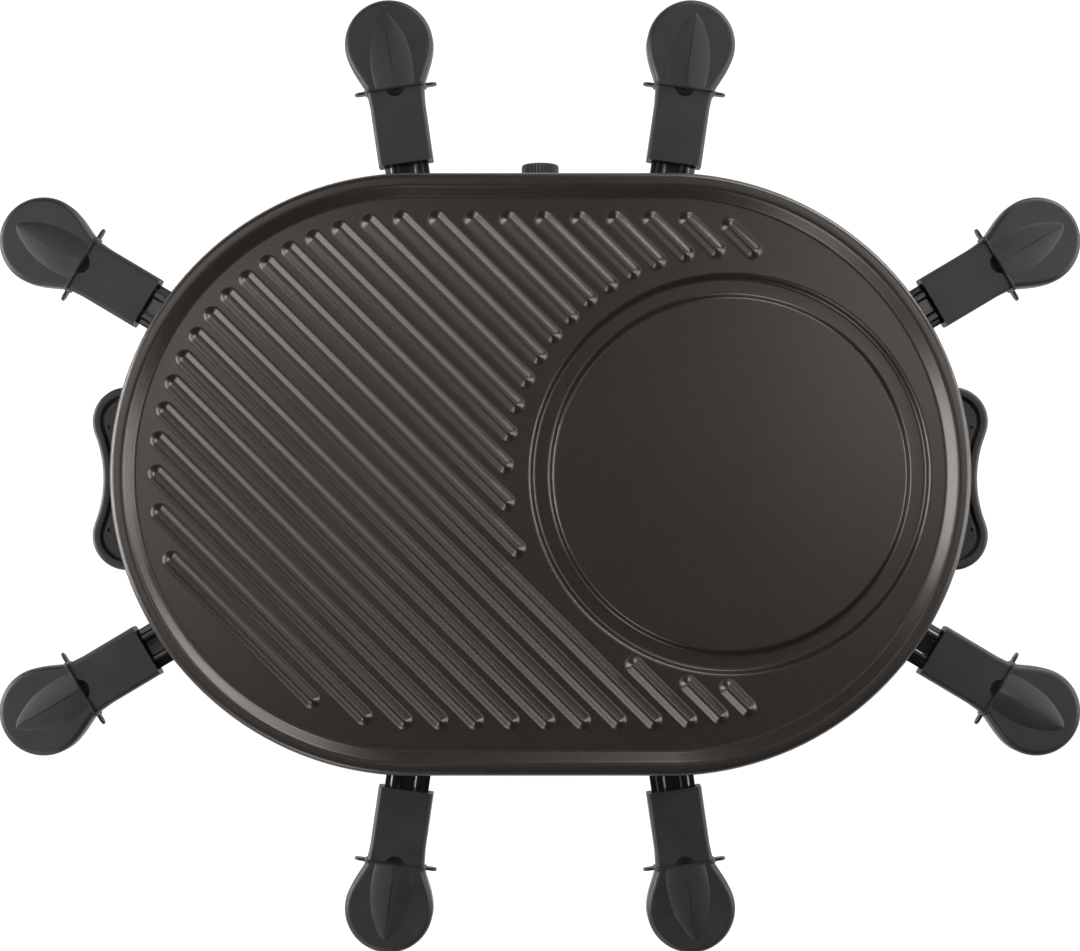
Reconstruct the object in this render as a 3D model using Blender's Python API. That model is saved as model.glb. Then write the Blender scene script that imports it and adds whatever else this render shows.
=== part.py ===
"""Table-top grill for eight people: an oval grill plate over a deck of eight sliding pans.

Metres, +Z up. The origin is on the table, under the middle of the grill, and the knob side
faces -Y. Every pan is modelled once, in a frame whose origin is the middle of its outer wall
on the deck and whose +X is the way it slides out.
"""

import math

import bmesh
import bpy
from mathutils import Matrix, Vector

MM = 0.001

# Clearances
GAP = 0.3 * MM
CUT_OVERRUN = 1 * MM
UPRIGHT_PAN_CLEARANCE = 2.7 * MM

# Grill plate: an oval with straight sides and round ends
PLATE_LENGTH = 430 * MM
PLATE_WIDTH = 301 * MM
PLATE_FLOOR = 7 * MM
RIM_RISE = 5 * MM
RIM_BAND = 6.4 * MM
RIM_SLOPE_RUN = 5.4 * MM
RIM_EDGE_ROUND = 1.2 * MM
RIM_EDGE_HEIGHT = 6.4 * MM
RIM_UNDERCUT = 8.5 * MM
UNDERSIDE_SLOPE_RUN = 2.5 * MM

# Smooth place for pancakes, marked by a round channel
RING_EDGE_MARGIN = 19.7 * MM
RING_RADIUS = 100.5 * MM
RING_WALL_RUN = 2.8 * MM
RING_FLOOR_WIDTH = 6.6 * MM
RING_DEPTH = 2 * MM

# Ribs: long humps with round ends, at 45 degrees
RIB_PITCH = 12.6 * MM
RIB_FIRST_MARGIN = 35.5 * MM
RIB_WIDTH = 11.2 * MM
RIB_RISE = 3 * MM
RIB_SINK = 0.6 * MM
RIB_EDGE_MARGIN = 17.5 * MM
RIB_RING_MARGIN = 6.8 * MM
RIB_SHORTEST = 9 * MM

# Deck and tub
DECK_TOP = 46 * MM
DECK_SHEET = 1.6 * MM
DECK_INSET = 6 * MM
DECK_SKIRT = 7 * MM
TUB_WALL = 2.5 * MM
TUB_CHAMFER = 4 * MM
FOOT_HEIGHT = 7 * MM
FOOT_RADIUS = 10 * MM
FOOT_PLUG_RADIUS = 3 * MM
FOOT_EDGE_MARGIN = (65 * MM, 72.5 * MM)
POST_RADIUS = 5.5 * MM
POST_EDGE_MARGIN = (103 * MM, 98.5 * MM)
LEAD_HOLE_RADIUS = 6 * MM

# Pans: a wedge with round corners, whose outer wall is upright. A front and a side pan share
# a quarter of the rim with the uprights, and their width is what that leaves.
PAN_SPACING = 70 * MM
END_STAND_SPAN = 60 * MM
PAN_LENGTH = 80 * MM
PAN_TAPER = 28 * MM
PAN_DEPTH = 16 * MM
PAN_WALL = 1.2 * MM
PAN_DRAFT = 3 * MM
PAN_LIP = 2 * MM
PAN_LIP_THICKNESS = 1.2 * MM
PAN_CORNER = 12 * MM
FRONT_PAN_EDGE_MARGIN = 6 * MM
FRONT_PAN_HEADING = math.radians(81.8)
SIDE_PAN_EDGE_MARGIN = 2.6 * MM
SIDE_PAN_BEARING = math.radians(33.1)
SIDE_PAN_HEADING = math.radians(30.8)

# Stem of a pan: a pressed tongue with two beads, riveted to the outer wall
STEM_WIDTH = 23 * MM
STEM_SHEET = 1.8 * MM
STEM_BEAD_WIDTH = 4 * MM
STEM_BEAD_RISE = 0.9 * MM
STEM_BEAD_OFFSET = 5 * MM
STEM_SHOW = 18.6 * MM
STEM_TANG = 22 * MM
STEM_LIP_CLEARANCE = 1.2 * MM
TAB_DECK_CLEARANCE = 2.6 * MM
RIVET_RADIUS = 1.5 * MM
RIVET_HEAD_RADIUS = 2.7 * MM
RIVET_HEAD_RISE = 0.9 * MM
RIVET_OFFSET = 6.5 * MM

# Handle of a pan
BLOCK_LENGTH = 39.4 * MM
BLOCK_WIDTH = 28.6 * MM
BLOCK_THICKNESS = 14 * MM
BLOCK_FLARE = 9 * MM
GUARD_HEIGHT = 17 * MM
GUARD_BORDER = 1.2 * MM
GUARD_CORNER = 3 * MM
GUARD_THICKNESS = 1.6 * MM
WING_SPAN = 43.2 * MM
WING_HEIGHT = 6 * MM
WING_CORNER = 2.6 * MM
NECK_WIDTH = 30 * MM
BULB_RADIUS = 23.1 * MM
BULB_OFFSET = 22.9 * MM
BULB_THICKNESS = 15 * MM
BULB_CHAMFER = 2.2 * MM
SPINE_WIDTH = 20 * MM
SPINE_RISE = 1.8 * MM
SPINE_TIP_MARGIN = 4 * MM
SPINE_WIDEST = 11 * MM

# Uprights that carry the plate, and the two side grips
UPRIGHT_HEIGHT = 53 * MM
STAND_EDGE_MARGIN = 10 * MM
STAND_DEPTH = 22 * MM
STAND_WALL = 3 * MM
STAND_PAN_CLEARANCE = 3 * MM
GRIP_REACH = 12.5 * MM
GRIP_WAIST = 5.5 * MM
GRIP_HALF_WIDTH = 50 * MM
GRIP_THICKNESS = 16 * MM
GRIP_DROP = 25 * MM
GRIP_BAND = 4 * MM
GRIP_PANEL_DEPTH = 1.6 * MM
GRIP_SET_BACK = 1.7 * MM

# Heating element and its brackets
ELEMENT_RADIUS = 3.25 * MM
ELEMENT_BEND = 14 * MM
ELEMENT_END_CLEARANCE = 0.75 * MM
ELEMENT_END_DROP = 11 * MM
SLEEVE_WALL = 2 * MM
SLEEVE_LENGTH = 8 * MM
END_BRACKET_REACH = 33 * MM
REAR_BRACKET_REACH = 28.5 * MM
BRACKET_WIDTH = 12 * MM
BRACKET_SHEET = 1.2 * MM
BRACKET_TAB = 12 * MM
BRACKET_LIP_CLEARANCE = 1 * MM

# Control housing and what is in it
CONTROL_WIDTH = 53.9 * MM
CONTROL_DEPTH = 30.5 * MM
CONTROL_EDGE_MARGIN = 1.5 * MM
CONTROL_WALL = 3 * MM
CONTROL_BASE = 6 * MM
COVER_SHEET = 1.2 * MM
KNOB_DROP = 19 * MM
KNOB_RADIUS = 9.5 * MM
KNOB_FLUTE = 0.6 * MM
KNOB_RIBS = 36
KNOB_LENGTH = 9.7 * MM
KNOB_ROUND = 1 * MM
SHAFT_RADIUS = 3 * MM
SHAFT_SEAT = 4 * MM
KNOB_SEAT = 6.5 * MM
BUSH_RADIUS = 5 * MM
BUSH_PROUD = 1 * MM
THERMOSTAT_SIZE = (20 * MM, 16 * MM, 24 * MM)
LENS_RADIUS = 3 * MM
LENS_FLANGE = 1 * MM
LAMP_LENGTH = 12 * MM
LAMP_RADIUS = 2.6 * MM

# Inlet, terminal block and leads
BUSHING_RADIUS = 5.5 * MM
BUSHING_BORE = 3.5 * MM
BUSHING_FLANGE_RADIUS = 8 * MM
BUSHING_FLANGE = 3 * MM
TERMINAL_SIZE = (26 * MM, 16 * MM, 12 * MM)
TERMINAL_MARGIN = 24 * MM
LEAD_RADIUS = 1.4 * MM
LEAD_SPACING = 8 * MM
LEAD_BEND = 9 * MM

# Screws
SCREW_RADIUS = 1.6 * MM
SCREW_HEAD_RADIUS = 3.3 * MM
SCREW_HEAD_RISE = 2.2 * MM
SCREW_BITE = 9 * MM
PEG_RADIUS = 1.6 * MM

# Facets
PLATE_FACETS = 72
DECK_FACETS = 56
RING_FACETS = 56
RIB_SIDES = 10
RIB_CAP_STEPS = 6
ROUND_FACETS = 16
HOLE_FACETS = 12
SCREW_FACETS = 8
CORNER_STEPS = 3
PAN_CORNER_STEPS = 2
BULB_STEPS = 9
SPINE_SIDES = 12
SPINE_STEPS = 8
SMOOTH_ANGLE = math.radians(35)

# Shares of the size that each follows
HEAD_TOP_SHARE = 0.7
LENS_DOME_SHARE = 1.4
FOOT_BEVEL_SHARE = 0.1
BULB_START_ANGLE = math.radians(125)
NECK_BLEND_SHARE = 0.3

# Derived sizes
oval_radius = PLATE_WIDTH / 2
oval_half_straight = PLATE_LENGTH / 2 - oval_radius
plate_underside = DECK_TOP + UPRIGHT_HEIGHT
plate_floor_top = plate_underside + PLATE_FLOOR
plate_top = plate_floor_top + RIM_RISE
ring_place = (-(PLATE_LENGTH / 2 - RING_EDGE_MARGIN - RING_RADIUS), 0)
upright_top = plate_underside - GAP
deck_underside = DECK_TOP - DECK_SHEET
skirt_bottom = DECK_TOP - DECK_SKIRT
upright_foot = DECK_TOP + GAP
tub_inset = DECK_INSET + DECK_SHEET + GAP
tub_bottom = FOOT_HEIGHT + GAP
tub_floor_top = tub_bottom + TUB_WALL
tub_top = deck_underside - GAP
screw_hole_radius = SCREW_RADIUS + GAP
element_level = plate_underside - GAP - ELEMENT_RADIUS
grip_level = plate_underside - GRIP_DROP
knob_level = plate_underside - KNOB_DROP
lens_level = (upright_foot + CONTROL_BASE + knob_level - THERMOSTAT_SIZE[2] / 2) / 2
bushing_level = (tub_bottom + TUB_CHAMFER + skirt_bottom) / 2
stand_outer = PLATE_LENGTH / 2 - STAND_EDGE_MARGIN
stand_inner = stand_outer - STAND_DEPTH
rear_outer = PLATE_WIDTH / 2 - STAND_EDGE_MARGIN
rear_inner = rear_outer - STAND_DEPTH
control_half_width = CONTROL_WIDTH / 2
control_front = PLATE_WIDTH / 2 - CONTROL_EDGE_MARGIN
control_back = control_front - CONTROL_DEPTH
element_half_length = stand_inner - END_BRACKET_REACH
element_half_width = rear_inner - REAR_BRACKET_REACH
element_end_offset = THERMOSTAT_SIZE[0] / 2 + ELEMENT_RADIUS + ELEMENT_END_CLEARANCE
pan_rim = GAP + PAN_DEPTH
pan_lip_bottom = pan_rim - PAN_LIP_THICKNESS
stem_top = pan_lip_bottom - STEM_LIP_CLEARANCE - STEM_BEAD_RISE
stem_bottom = stem_top - STEM_SHEET
handle_level = (stem_bottom + stem_top) / 2
guard_reach = STEM_SHOW + BLOCK_LENGTH
bulb_reach = guard_reach + BULB_OFFSET

quarter_rim = oval_half_straight + oval_radius * math.pi / 2
pan_outer_width = (quarter_rim - control_half_width - END_STAND_SPAN - PAN_SPACING) / 2
pan_inner_width = pan_outer_width - PAN_TAPER


def pan_corner(place, heading, side, inner):
    """Corner of a pan's lip in the world, on its left (side 1) or right (side -1)."""
    along = -(PAN_LENGTH + PAN_LIP) if inner else PAN_LIP
    across = side * ((pan_inner_width if inner else pan_outer_width) / 2 + PAN_LIP)
    return place + Matrix.Rotation(heading, 3, "Z") @ Vector((along, across, 0))


def place_front_pan():
    """Middle of a front pan's outer wall: beside the control housing, along the rim."""
    beside = pan_corner(Vector((0, 0, 0)), FRONT_PAN_HEADING, 1, False)
    x = control_half_width + UPRIGHT_PAN_CLEARANCE - beside.x
    radius = oval_radius - FRONT_PAN_EDGE_MARGIN
    past_straight = max(x - oval_half_straight, 0)
    return Vector((x, math.sqrt(radius ** 2 - past_straight ** 2), 0))


def place_side_pan():
    """Middle of a side pan's outer wall, on the plate's round end."""
    radius = oval_radius - SIDE_PAN_EDGE_MARGIN
    across = radius * math.sin(SIDE_PAN_BEARING)
    return Vector((oval_half_straight + radius * math.cos(SIDE_PAN_BEARING), across, 0))


def half_width_between_side_pans(reach):
    """Half of the free width between the two side pans of an end, where x is the reach."""
    inner = pan_corner(side_pan_place, SIDE_PAN_HEADING, -1, True)
    outer = pan_corner(side_pan_place, SIDE_PAN_HEADING, -1, False)
    return inner.y + (outer.y - inner.y) * (reach - inner.x) / (outer.x - inner.x)


front_pan_place = place_front_pan()
side_pan_place = place_side_pan()
stand_half_width = half_width_between_side_pans(stand_inner) - STAND_PAN_CLEARANCE

# Matrix that lays a section drawn in X and Y across the X axis
lie_along_x = Matrix(((0, 0, 1, 0), (1, 0, 0, 0), (0, 1, 0, 0), (0, 0, 0, 1)))


# Fresh scene and collections
for old_object in list(bpy.data.objects):
    bpy.data.objects.remove(old_object, do_unlink=True)

grill_collection = bpy.data.collections.new("gourmet_grill")
cutter_collection = bpy.data.collections.new("cutters")
bpy.context.scene.collection.children.link(grill_collection)
bpy.context.scene.collection.children.link(cutter_collection)


def make_material(name, colour, roughness, metallic=0.0):
    """Principled material with one colour, given as linear red, green and blue."""
    material = bpy.data.materials.new(name)
    material.use_nodes = True
    shader = material.node_tree.nodes["Principled BSDF"]
    shader.inputs["Base Color"].default_value = (*colour, 1.0)
    shader.inputs["Roughness"].default_value = roughness
    shader.inputs["Metallic"].default_value = metallic
    return material


coated_aluminium = make_material("coated_aluminium", (0.045, 0.041, 0.037), 0.38, 0.3)
coated_steel = make_material("coated_steel", (0.03, 0.03, 0.03), 0.35, 0.3)
black_steel = make_material("black_steel", (0.02, 0.02, 0.02), 0.25, 0.5)
phenolic = make_material("phenolic", (0.032, 0.03, 0.031), 0.6)
moulded_black = make_material("moulded_black", (0.02, 0.02, 0.02), 0.45)
bare_steel = make_material("bare_steel", (0.45, 0.45, 0.45), 0.35, 1.0)
element_steel = make_material("element_steel", (0.22, 0.2, 0.18), 0.4, 1.0)
ceramic = make_material("ceramic", (0.75, 0.72, 0.66), 0.5)
rubber = make_material("rubber", (0.02, 0.02, 0.02), 0.8)
red_lens = make_material("red_lens", (0.5, 0.02, 0.01), 0.15)
lead_cover = make_material("lead_cover", (0.6, 0.58, 0.5), 0.5)


def face_outwards(shape):
    """Turn every face of one closed solid outwards."""
    bmesh.ops.recalc_face_normals(shape, faces=shape.faces)
    if shape.calc_volume(signed=True) < 0:
        bmesh.ops.reverse_faces(shape, faces=shape.faces)
    return shape


def place_mesh(name, shape, material, collection=None):
    """Make an object from a bmesh, shaded smooth with sharp edges kept."""
    mesh = bpy.data.meshes.new(name)
    shape.to_mesh(mesh)
    shape.free()
    mesh.shade_smooth()
    mesh.set_sharp_from_angle(angle=SMOOTH_ANGLE)
    made = bpy.data.objects.new(name, mesh)
    (collection or grill_collection).objects.link(made)
    if material:
        mesh.materials.append(material)
    return made


def place_cutter(name, shape):
    """Make an object that only cuts others: it is drawn as wires and never rendered."""
    made = place_mesh(name, shape, None, cutter_collection)
    made.hide_render = True
    made.display_type = "WIRE"
    return made


def combine(target, operand, operation):
    """Add an exact Boolean of the operand to the target."""
    modifier = target.modifiers.new(operand.name, "BOOLEAN")
    modifier.operation = operation
    modifier.solver = "EXACT"
    modifier.object = operand
    return modifier


def finished_mesh(source, name):
    """Mesh of an object with its modifiers applied."""
    graph = bpy.context.evaluated_depsgraph_get()
    mesh = bpy.data.meshes.new_from_object(source.evaluated_get(graph))
    mesh.name = name
    return mesh


def shape_box(low, high, shape=None):
    """Box between two corners, added to a bmesh."""
    shape = shape or bmesh.new()
    low, high = Vector(low), Vector(high)
    middle = Matrix.Translation((low + high) / 2)
    size = Matrix.Diagonal((*(high - low), 1))
    bmesh.ops.create_cube(shape, size=1, matrix=middle @ size)
    return shape


def outline_ring(shape, points, height):
    """Ring of corners through flat points at one height."""
    return [shape.verts.new((x, y, height)) for x, y in points]


def oval_ring(shape, inset, height, facets=DECK_FACETS):
    """Ring that follows the plate's oval, moved in by an inset."""
    radius = (oval_radius - inset) / math.cos(math.pi / facets)
    start = Matrix.Translation((0, 0, height)) @ Matrix.Rotation(math.pi / facets, 4, "Z")
    ring = bmesh.ops.create_circle(
        shape, cap_ends=False, segments=facets, radius=radius, matrix=start)["verts"]
    for corner in ring:
        corner.co.x += math.copysign(oval_half_straight, corner.co.x)
    return ring


def circle_ring(shape, radius, height, facets):
    """Round ring about the Z axis."""
    return bmesh.ops.create_circle(
        shape, cap_ends=False, segments=facets, radius=radius,
        matrix=Matrix.Translation((0, 0, height)))["verts"]


def loft(shape, rings, ends="capped"):
    """Skin a row of rings; the ends are capped, or joined to each other for a tube wall."""
    pairs = list(zip(rings, rings[1:]))
    if ends == "joined":
        pairs.append((rings[-1], rings[0]))
    for lower, upper in pairs:
        for index in range(len(lower)):
            shape.faces.new((lower[index - 1], lower[index], upper[index], upper[index - 1]))
    if ends == "capped":
        shape.faces.new(rings[0])
        shape.faces.new(rings[-1])
    return face_outwards(shape)


def shape_turned(profile, facets, ends="capped"):
    """Turned solid about Z from (radius, height) pairs."""
    shape = bmesh.new()
    rings = [circle_ring(shape, radius, height, facets) for radius, height in profile]
    return loft(shape, rings, ends)


def shape_prism(points, low, high):
    """Solid with one flat outline between two heights."""
    shape = bmesh.new()
    return loft(shape, [outline_ring(shape, points, low), outline_ring(shape, points, high)])


def moved(shape, matrix):
    """The same bmesh after a rigid move."""
    bmesh.ops.transform(shape, matrix=matrix, verts=shape.verts)
    return shape


def facing(direction, origin=(0, 0, 0)):
    """Matrix that lays a shape's +Z along a direction, at an origin."""
    turn = Vector((0, 0, 1)).rotation_difference(Vector(direction)).to_matrix().to_4x4()
    return Matrix.Translation(origin) @ turn


def merged(shapes):
    """One bmesh that holds several separate solids."""
    whole = bmesh.new()
    for shape in shapes:
        mesh = bpy.data.meshes.new("merging")
        shape.to_mesh(mesh)
        shape.free()
        whole.from_mesh(mesh)
        bpy.data.meshes.remove(mesh)
    return whole


def rounded_outline(corners, radius, steps):
    """Outline through corners given anticlockwise, each rounded with an arc."""
    points = []
    count = len(corners)
    for index, corner in enumerate(corners):
        here = Vector(corner)
        before = (Vector(corners[index - 1]) - here).normalized()
        after = (Vector(corners[(index + 1) % count]) - here).normalized()
        half_angle = before.angle(after) / 2
        centre = here + (before + after).normalized() * radius / math.sin(half_angle)
        start = here + before * radius / math.tan(half_angle) - centre
        sweep = math.pi - 2 * half_angle
        for step in range(steps + 1):
            angle = sweep * step / steps
            turned = Matrix.Rotation(angle, 2) @ start
            points.append(tuple(centre + turned))
    return points


def shape_screw(length):
    """Pan-head screw along +Z, with the seat of its head at the origin."""
    profile = [
        (SCREW_HEAD_RADIUS * HEAD_TOP_SHARE, -SCREW_HEAD_RISE),
        (SCREW_HEAD_RADIUS, -SCREW_HEAD_RISE / 2),
        (SCREW_HEAD_RADIUS, 0),
        (SCREW_RADIUS, 0),
        (SCREW_RADIUS, length),
    ]
    return shape_turned(profile, SCREW_FACETS)


def shape_hole(radius, start, end, facets=HOLE_FACETS):
    """Round cutter between two heights on Z."""
    return shape_turned([(radius, start), (radius, end)], facets)


# Grill plate
def circle_span(origin, along, centre, radius):
    """Where a line enters and leaves a circle, or nothing."""
    to_centre = Vector(centre) - origin
    middle = to_centre.dot(along)
    off_axis = (to_centre - along * middle).length
    if off_axis >= radius:
        return None
    half = math.sqrt(radius ** 2 - off_axis ** 2)
    return middle - half, middle + half


def oval_span(origin, along, inset):
    """Where a slanted line enters and leaves the plate's oval, moved in by an inset."""
    radius = oval_radius - inset
    spans = [circle_span(origin, along, (side * oval_half_straight, 0), radius) for side in (-1, 1)]
    across = sorted((side * radius - origin.y) / along.y for side in (-1, 1))
    between = sorted((side * oval_half_straight - origin.x) / along.x for side in (-1, 1))
    enters, leaves = max(across[0], between[0]), min(across[1], between[1])
    if leaves > enters:
        spans.append((enters, leaves))
    spans = [span for span in spans if span]
    if not spans:
        return None
    return min(span[0] for span in spans), max(span[1] for span in spans)


def rib_spans():
    """Ends of the straight axis of every rib, as pairs of flat points."""
    along = Vector((-1, 1)).normalized()
    normal = Vector((1, 1)).normalized()
    half_width = RIB_WIDTH / 2
    first = oval_half_straight * normal.x + oval_radius - RIB_FIRST_MARGIN
    count = math.floor(2 * first / RIB_PITCH) + 1
    for index in range(count):
        origin = normal * (first - index * RIB_PITCH)
        whole = oval_span(origin, along, RIB_EDGE_MARGIN + half_width)
        if not whole:
            continue
        blocked = circle_span(origin, along, ring_place, RING_RADIUS + RIB_RING_MARGIN + half_width)
        pieces = [whole]
        if blocked:
            pieces = [(whole[0], min(whole[1], blocked[0])), (max(whole[0], blocked[1]), whole[1])]
        for start, end in pieces:
            if end - start > RIB_SHORTEST - half_width:
                yield origin + along * start, origin + along * end


def shape_rib(start, end):
    """Hump with round ends whose axis runs between two flat points."""
    shape = bmesh.new()
    poles_along_x = Matrix.Rotation(math.pi / 2, 4, "Y")
    bmesh.ops.create_uvsphere(
        shape, u_segments=RIB_SIDES, v_segments=RIB_CAP_STEPS, radius=RIB_WIDTH / 2,
        matrix=poles_along_x @ Matrix.Rotation(math.pi / RIB_SIDES, 4, "Z"))
    half_length = (end - start).length / 2
    middle_band = GAP
    for corner in shape.verts:
        if abs(corner.co.x) > middle_band:
            corner.co.x += math.copysign(half_length, corner.co.x)
    flatten = Matrix.Diagonal((1, 1, (RIB_RISE + RIB_SINK) / (RIB_WIDTH / 2), 1))
    middle = (start + end) / 2
    turn = Matrix.Rotation(math.atan2(end.y - start.y, end.x - start.x), 4, "Z")
    place = Matrix.Translation((middle.x, middle.y, plate_floor_top - RIB_SINK))
    return moved(shape, place @ turn @ flatten)


def make_grill_plate():
    """Cast plate: a lofted oval with a rim, ribs added and the round channel cut."""
    rim_edge_foot = plate_top - RIM_EDGE_HEIGHT
    section = [
        (RIM_UNDERCUT + UNDERSIDE_SLOPE_RUN, plate_underside),
        (RIM_UNDERCUT, rim_edge_foot - RIM_EDGE_ROUND / 2),
        (0, rim_edge_foot),
        (0, plate_top - RIM_EDGE_ROUND),
        (RIM_EDGE_ROUND, plate_top),
        (RIM_BAND, plate_top),
        (RIM_BAND + RIM_SLOPE_RUN, plate_floor_top),
    ]
    shape = bmesh.new()
    loft(shape, [oval_ring(shape, inset, height, PLATE_FACETS) for inset, height in section])
    plate = place_mesh("grill_plate", shape, coated_aluminium)
    ribs = place_cutter("rib_shapes", merged([shape_rib(*span) for span in rib_spans()]))
    combine(plate, ribs, "UNION")
    inner = RING_RADIUS - 2 * RING_WALL_RUN - RING_FLOOR_WIDTH
    spread = RING_WALL_RUN * CUT_OVERRUN / RING_DEPTH
    channel = shape_turned([
        (RING_RADIUS + spread, CUT_OVERRUN),
        (RING_RADIUS - RING_WALL_RUN, -RING_DEPTH),
        (inner + RING_WALL_RUN, -RING_DEPTH),
        (inner - spread, CUT_OVERRUN),
    ], RING_FACETS, "joined")
    moved(channel, Matrix.Translation((*ring_place, plate_floor_top)))
    combine(plate, place_cutter("ring_channel", channel), "DIFFERENCE")
    return plate


make_grill_plate()


# Deck, tub and feet
end_upright_x = (stand_outer + stand_inner) / 2
rear_upright_y = (rear_outer + rear_inner) / 2
control_upright_y = -(control_front + control_back) / 2
control_screw_x = -(control_half_width - CONTROL_WALL - POST_RADIUS)
upright_screws = {
    "end_stand_screw_left": (-end_upright_x, 0, SCREW_BITE),
    "end_stand_screw_right": (end_upright_x, 0, SCREW_BITE),
    "rear_stand_screw": (0, rear_upright_y, SCREW_BITE),
    "control_housing_screw": (control_screw_x, control_upright_y, CONTROL_BASE / 2),
}
upright_screw_places = [(x, y) for x, y, bite in upright_screws.values()]
lead_hole_place = (0, control_upright_y)


def four_places(edge_margin):
    """Four places at one distance in from the plate's ends and sides."""
    x, y = PLATE_LENGTH / 2 - edge_margin[0], PLATE_WIDTH / 2 - edge_margin[1]
    return [(side_x * x, side_y * y) for side_x in (-1, 1) for side_y in (-1, 1)]


post_places = four_places(POST_EDGE_MARGIN)
foot_places = four_places(FOOT_EDGE_MARGIN)


def holes_at(places, radius, low, high):
    """Round cutters at several flat places, as one bmesh."""
    return merged([
        moved(shape_hole(radius, low, high, SCREW_FACETS), Matrix.Translation((x, y, 0)))
        for x, y in places])


def make_deck():
    """Sheet steel deck with a turned-down skirt that hangs over the tub."""
    section = [
        (DECK_INSET + DECK_SHEET, deck_underside),
        (DECK_INSET + DECK_SHEET, skirt_bottom),
        (DECK_INSET, skirt_bottom),
        (DECK_INSET, DECK_TOP),
    ]
    shape = bmesh.new()
    loft(shape, [oval_ring(shape, inset, height) for inset, height in section])
    deck = place_mesh("pan_shelf", shape, coated_steel)
    low, high = skirt_bottom, DECK_TOP + CUT_OVERRUN
    holes = merged([
        holes_at(upright_screw_places + post_places, screw_hole_radius, low, high),
        holes_at([lead_hole_place], LEAD_HOLE_RADIUS, low, high)])
    combine(deck, place_cutter("deck_holes", holes), "DIFFERENCE")


def make_tub():
    """Moulded tub under the deck, with a floor, screw posts and a hole for the inlet."""
    section = [
        (tub_inset + TUB_CHAMFER, tub_bottom),
        (tub_inset, tub_bottom + TUB_CHAMFER),
        (tub_inset, tub_top),
        (tub_inset + TUB_WALL, tub_top),
        (tub_inset + TUB_WALL, tub_bottom + TUB_CHAMFER),
        (tub_inset + TUB_CHAMFER + TUB_WALL / 2, tub_floor_top),
    ]
    shape = bmesh.new()
    loft(shape, [oval_ring(shape, inset, height) for inset, height in section])
    tub = place_mesh("base_housing", shape, moulded_black)
    low = tub_bottom + TUB_WALL / 2
    posts = holes_at(post_places, POST_RADIUS, low, tub_top)
    combine(tub, place_cutter("tub_posts", posts), "UNION")
    seat = tub_bottom + SCREW_HEAD_RISE + GAP
    below = tub_bottom - CUT_OVERRUN
    holes = merged([
        holes_at(post_places, screw_hole_radius, below, tub_top + CUT_OVERRUN),
        holes_at(foot_places, FOOT_PLUG_RADIUS + GAP, below, tub_floor_top + CUT_OVERRUN)])
    combine(tub, place_cutter("tub_holes", holes), "DIFFERENCE")
    recesses = holes_at(post_places, SCREW_HEAD_RADIUS + GAP, below, seat)
    combine(tub, place_cutter("tub_recesses", recesses), "DIFFERENCE")
    wall = oval_radius - tub_inset
    inlet = shape_hole(
        BUSHING_RADIUS + GAP, wall - TUB_WALL - CUT_OVERRUN, wall + CUT_OVERRUN, ROUND_FACETS)
    moved(inlet, facing((0, 1, 0), (0, 0, bushing_level)))
    combine(tub, place_cutter("tub_inlet", inlet), "DIFFERENCE")


def make_feet():
    """Four rubber feet whose plugs press into the tub's floor."""
    plug_top = tub_floor_top + FOOT_PLUG_RADIUS / 2
    profile = [
        (FOOT_RADIUS * (1 - FOOT_BEVEL_SHARE), 0),
        (FOOT_RADIUS, FOOT_HEIGHT / 4),
        (FOOT_RADIUS, FOOT_HEIGHT),
        (FOOT_PLUG_RADIUS, FOOT_HEIGHT),
        (FOOT_PLUG_RADIUS, plug_top),
    ]
    for number, (x, y) in enumerate(foot_places, start=1):
        foot = moved(shape_turned(profile, ROUND_FACETS), Matrix.Translation((x, y, 0)))
        place_mesh(f"rubber_foot_{number}", foot, rubber)


def make_deck_screws():
    """Screws up through the tub's posts into the deck."""
    seat = tub_bottom + SCREW_HEAD_RISE + 2 * GAP
    length = deck_underside + DECK_SHEET / 2 - seat
    for number, (x, y) in enumerate(post_places, start=1):
        screw = moved(shape_screw(length), Matrix.Translation((x, y, seat - GAP)))
        place_mesh(f"shelf_screw_{number}", screw, bare_steel)


def make_upright_screws():
    """One screw up through the deck into the foot of each upright."""
    seat = deck_underside - GAP
    for name, (x, y, bite) in upright_screws.items():
        screw = shape_screw(DECK_TOP + bite - seat)
        place_mesh(name, moved(screw, Matrix.Translation((x, y, seat))), bare_steel)


make_deck()
make_tub()
make_feet()
make_deck_screws()
make_upright_screws()


# Stands and grips
def cut_screw_hole(upright, screw_name):
    """Blind hole in the foot of an upright for its screw."""
    x, y, bite = upright_screws[screw_name]
    hole = shape_hole(
        screw_hole_radius, upright_foot - CUT_OVERRUN, DECK_TOP + bite + GAP, SCREW_FACETS)
    moved(hole, Matrix.Translation((x, y, 0)))
    combine(upright, place_cutter(screw_name + "_hole", hole), "DIFFERENCE")


peg_level = grip_level + GRIP_THICKNESS / 2
peg_spread = stand_half_width / 2
bracket_peg_level = element_level - ELEMENT_RADIUS - GAP - BRACKET_TAB / 2


def shape_pockets(half_width, near, far, across):
    """Two pockets, open below, on both sides of an upright's solid middle."""
    pockets = []
    for side in (-1, 1):
        start, end = sorted((side * POST_RADIUS, side * (half_width - STAND_WALL)))
        low = (near + STAND_WALL, start, upright_foot - CUT_OVERRUN)
        high = (far - STAND_WALL, end, upright_top - STAND_WALL)
        if across == "x":
            low, high = (start, low[0], low[2]), (end, high[0], high[2])
        pockets.append(shape_box(low, high))
    return merged(pockets)


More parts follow.
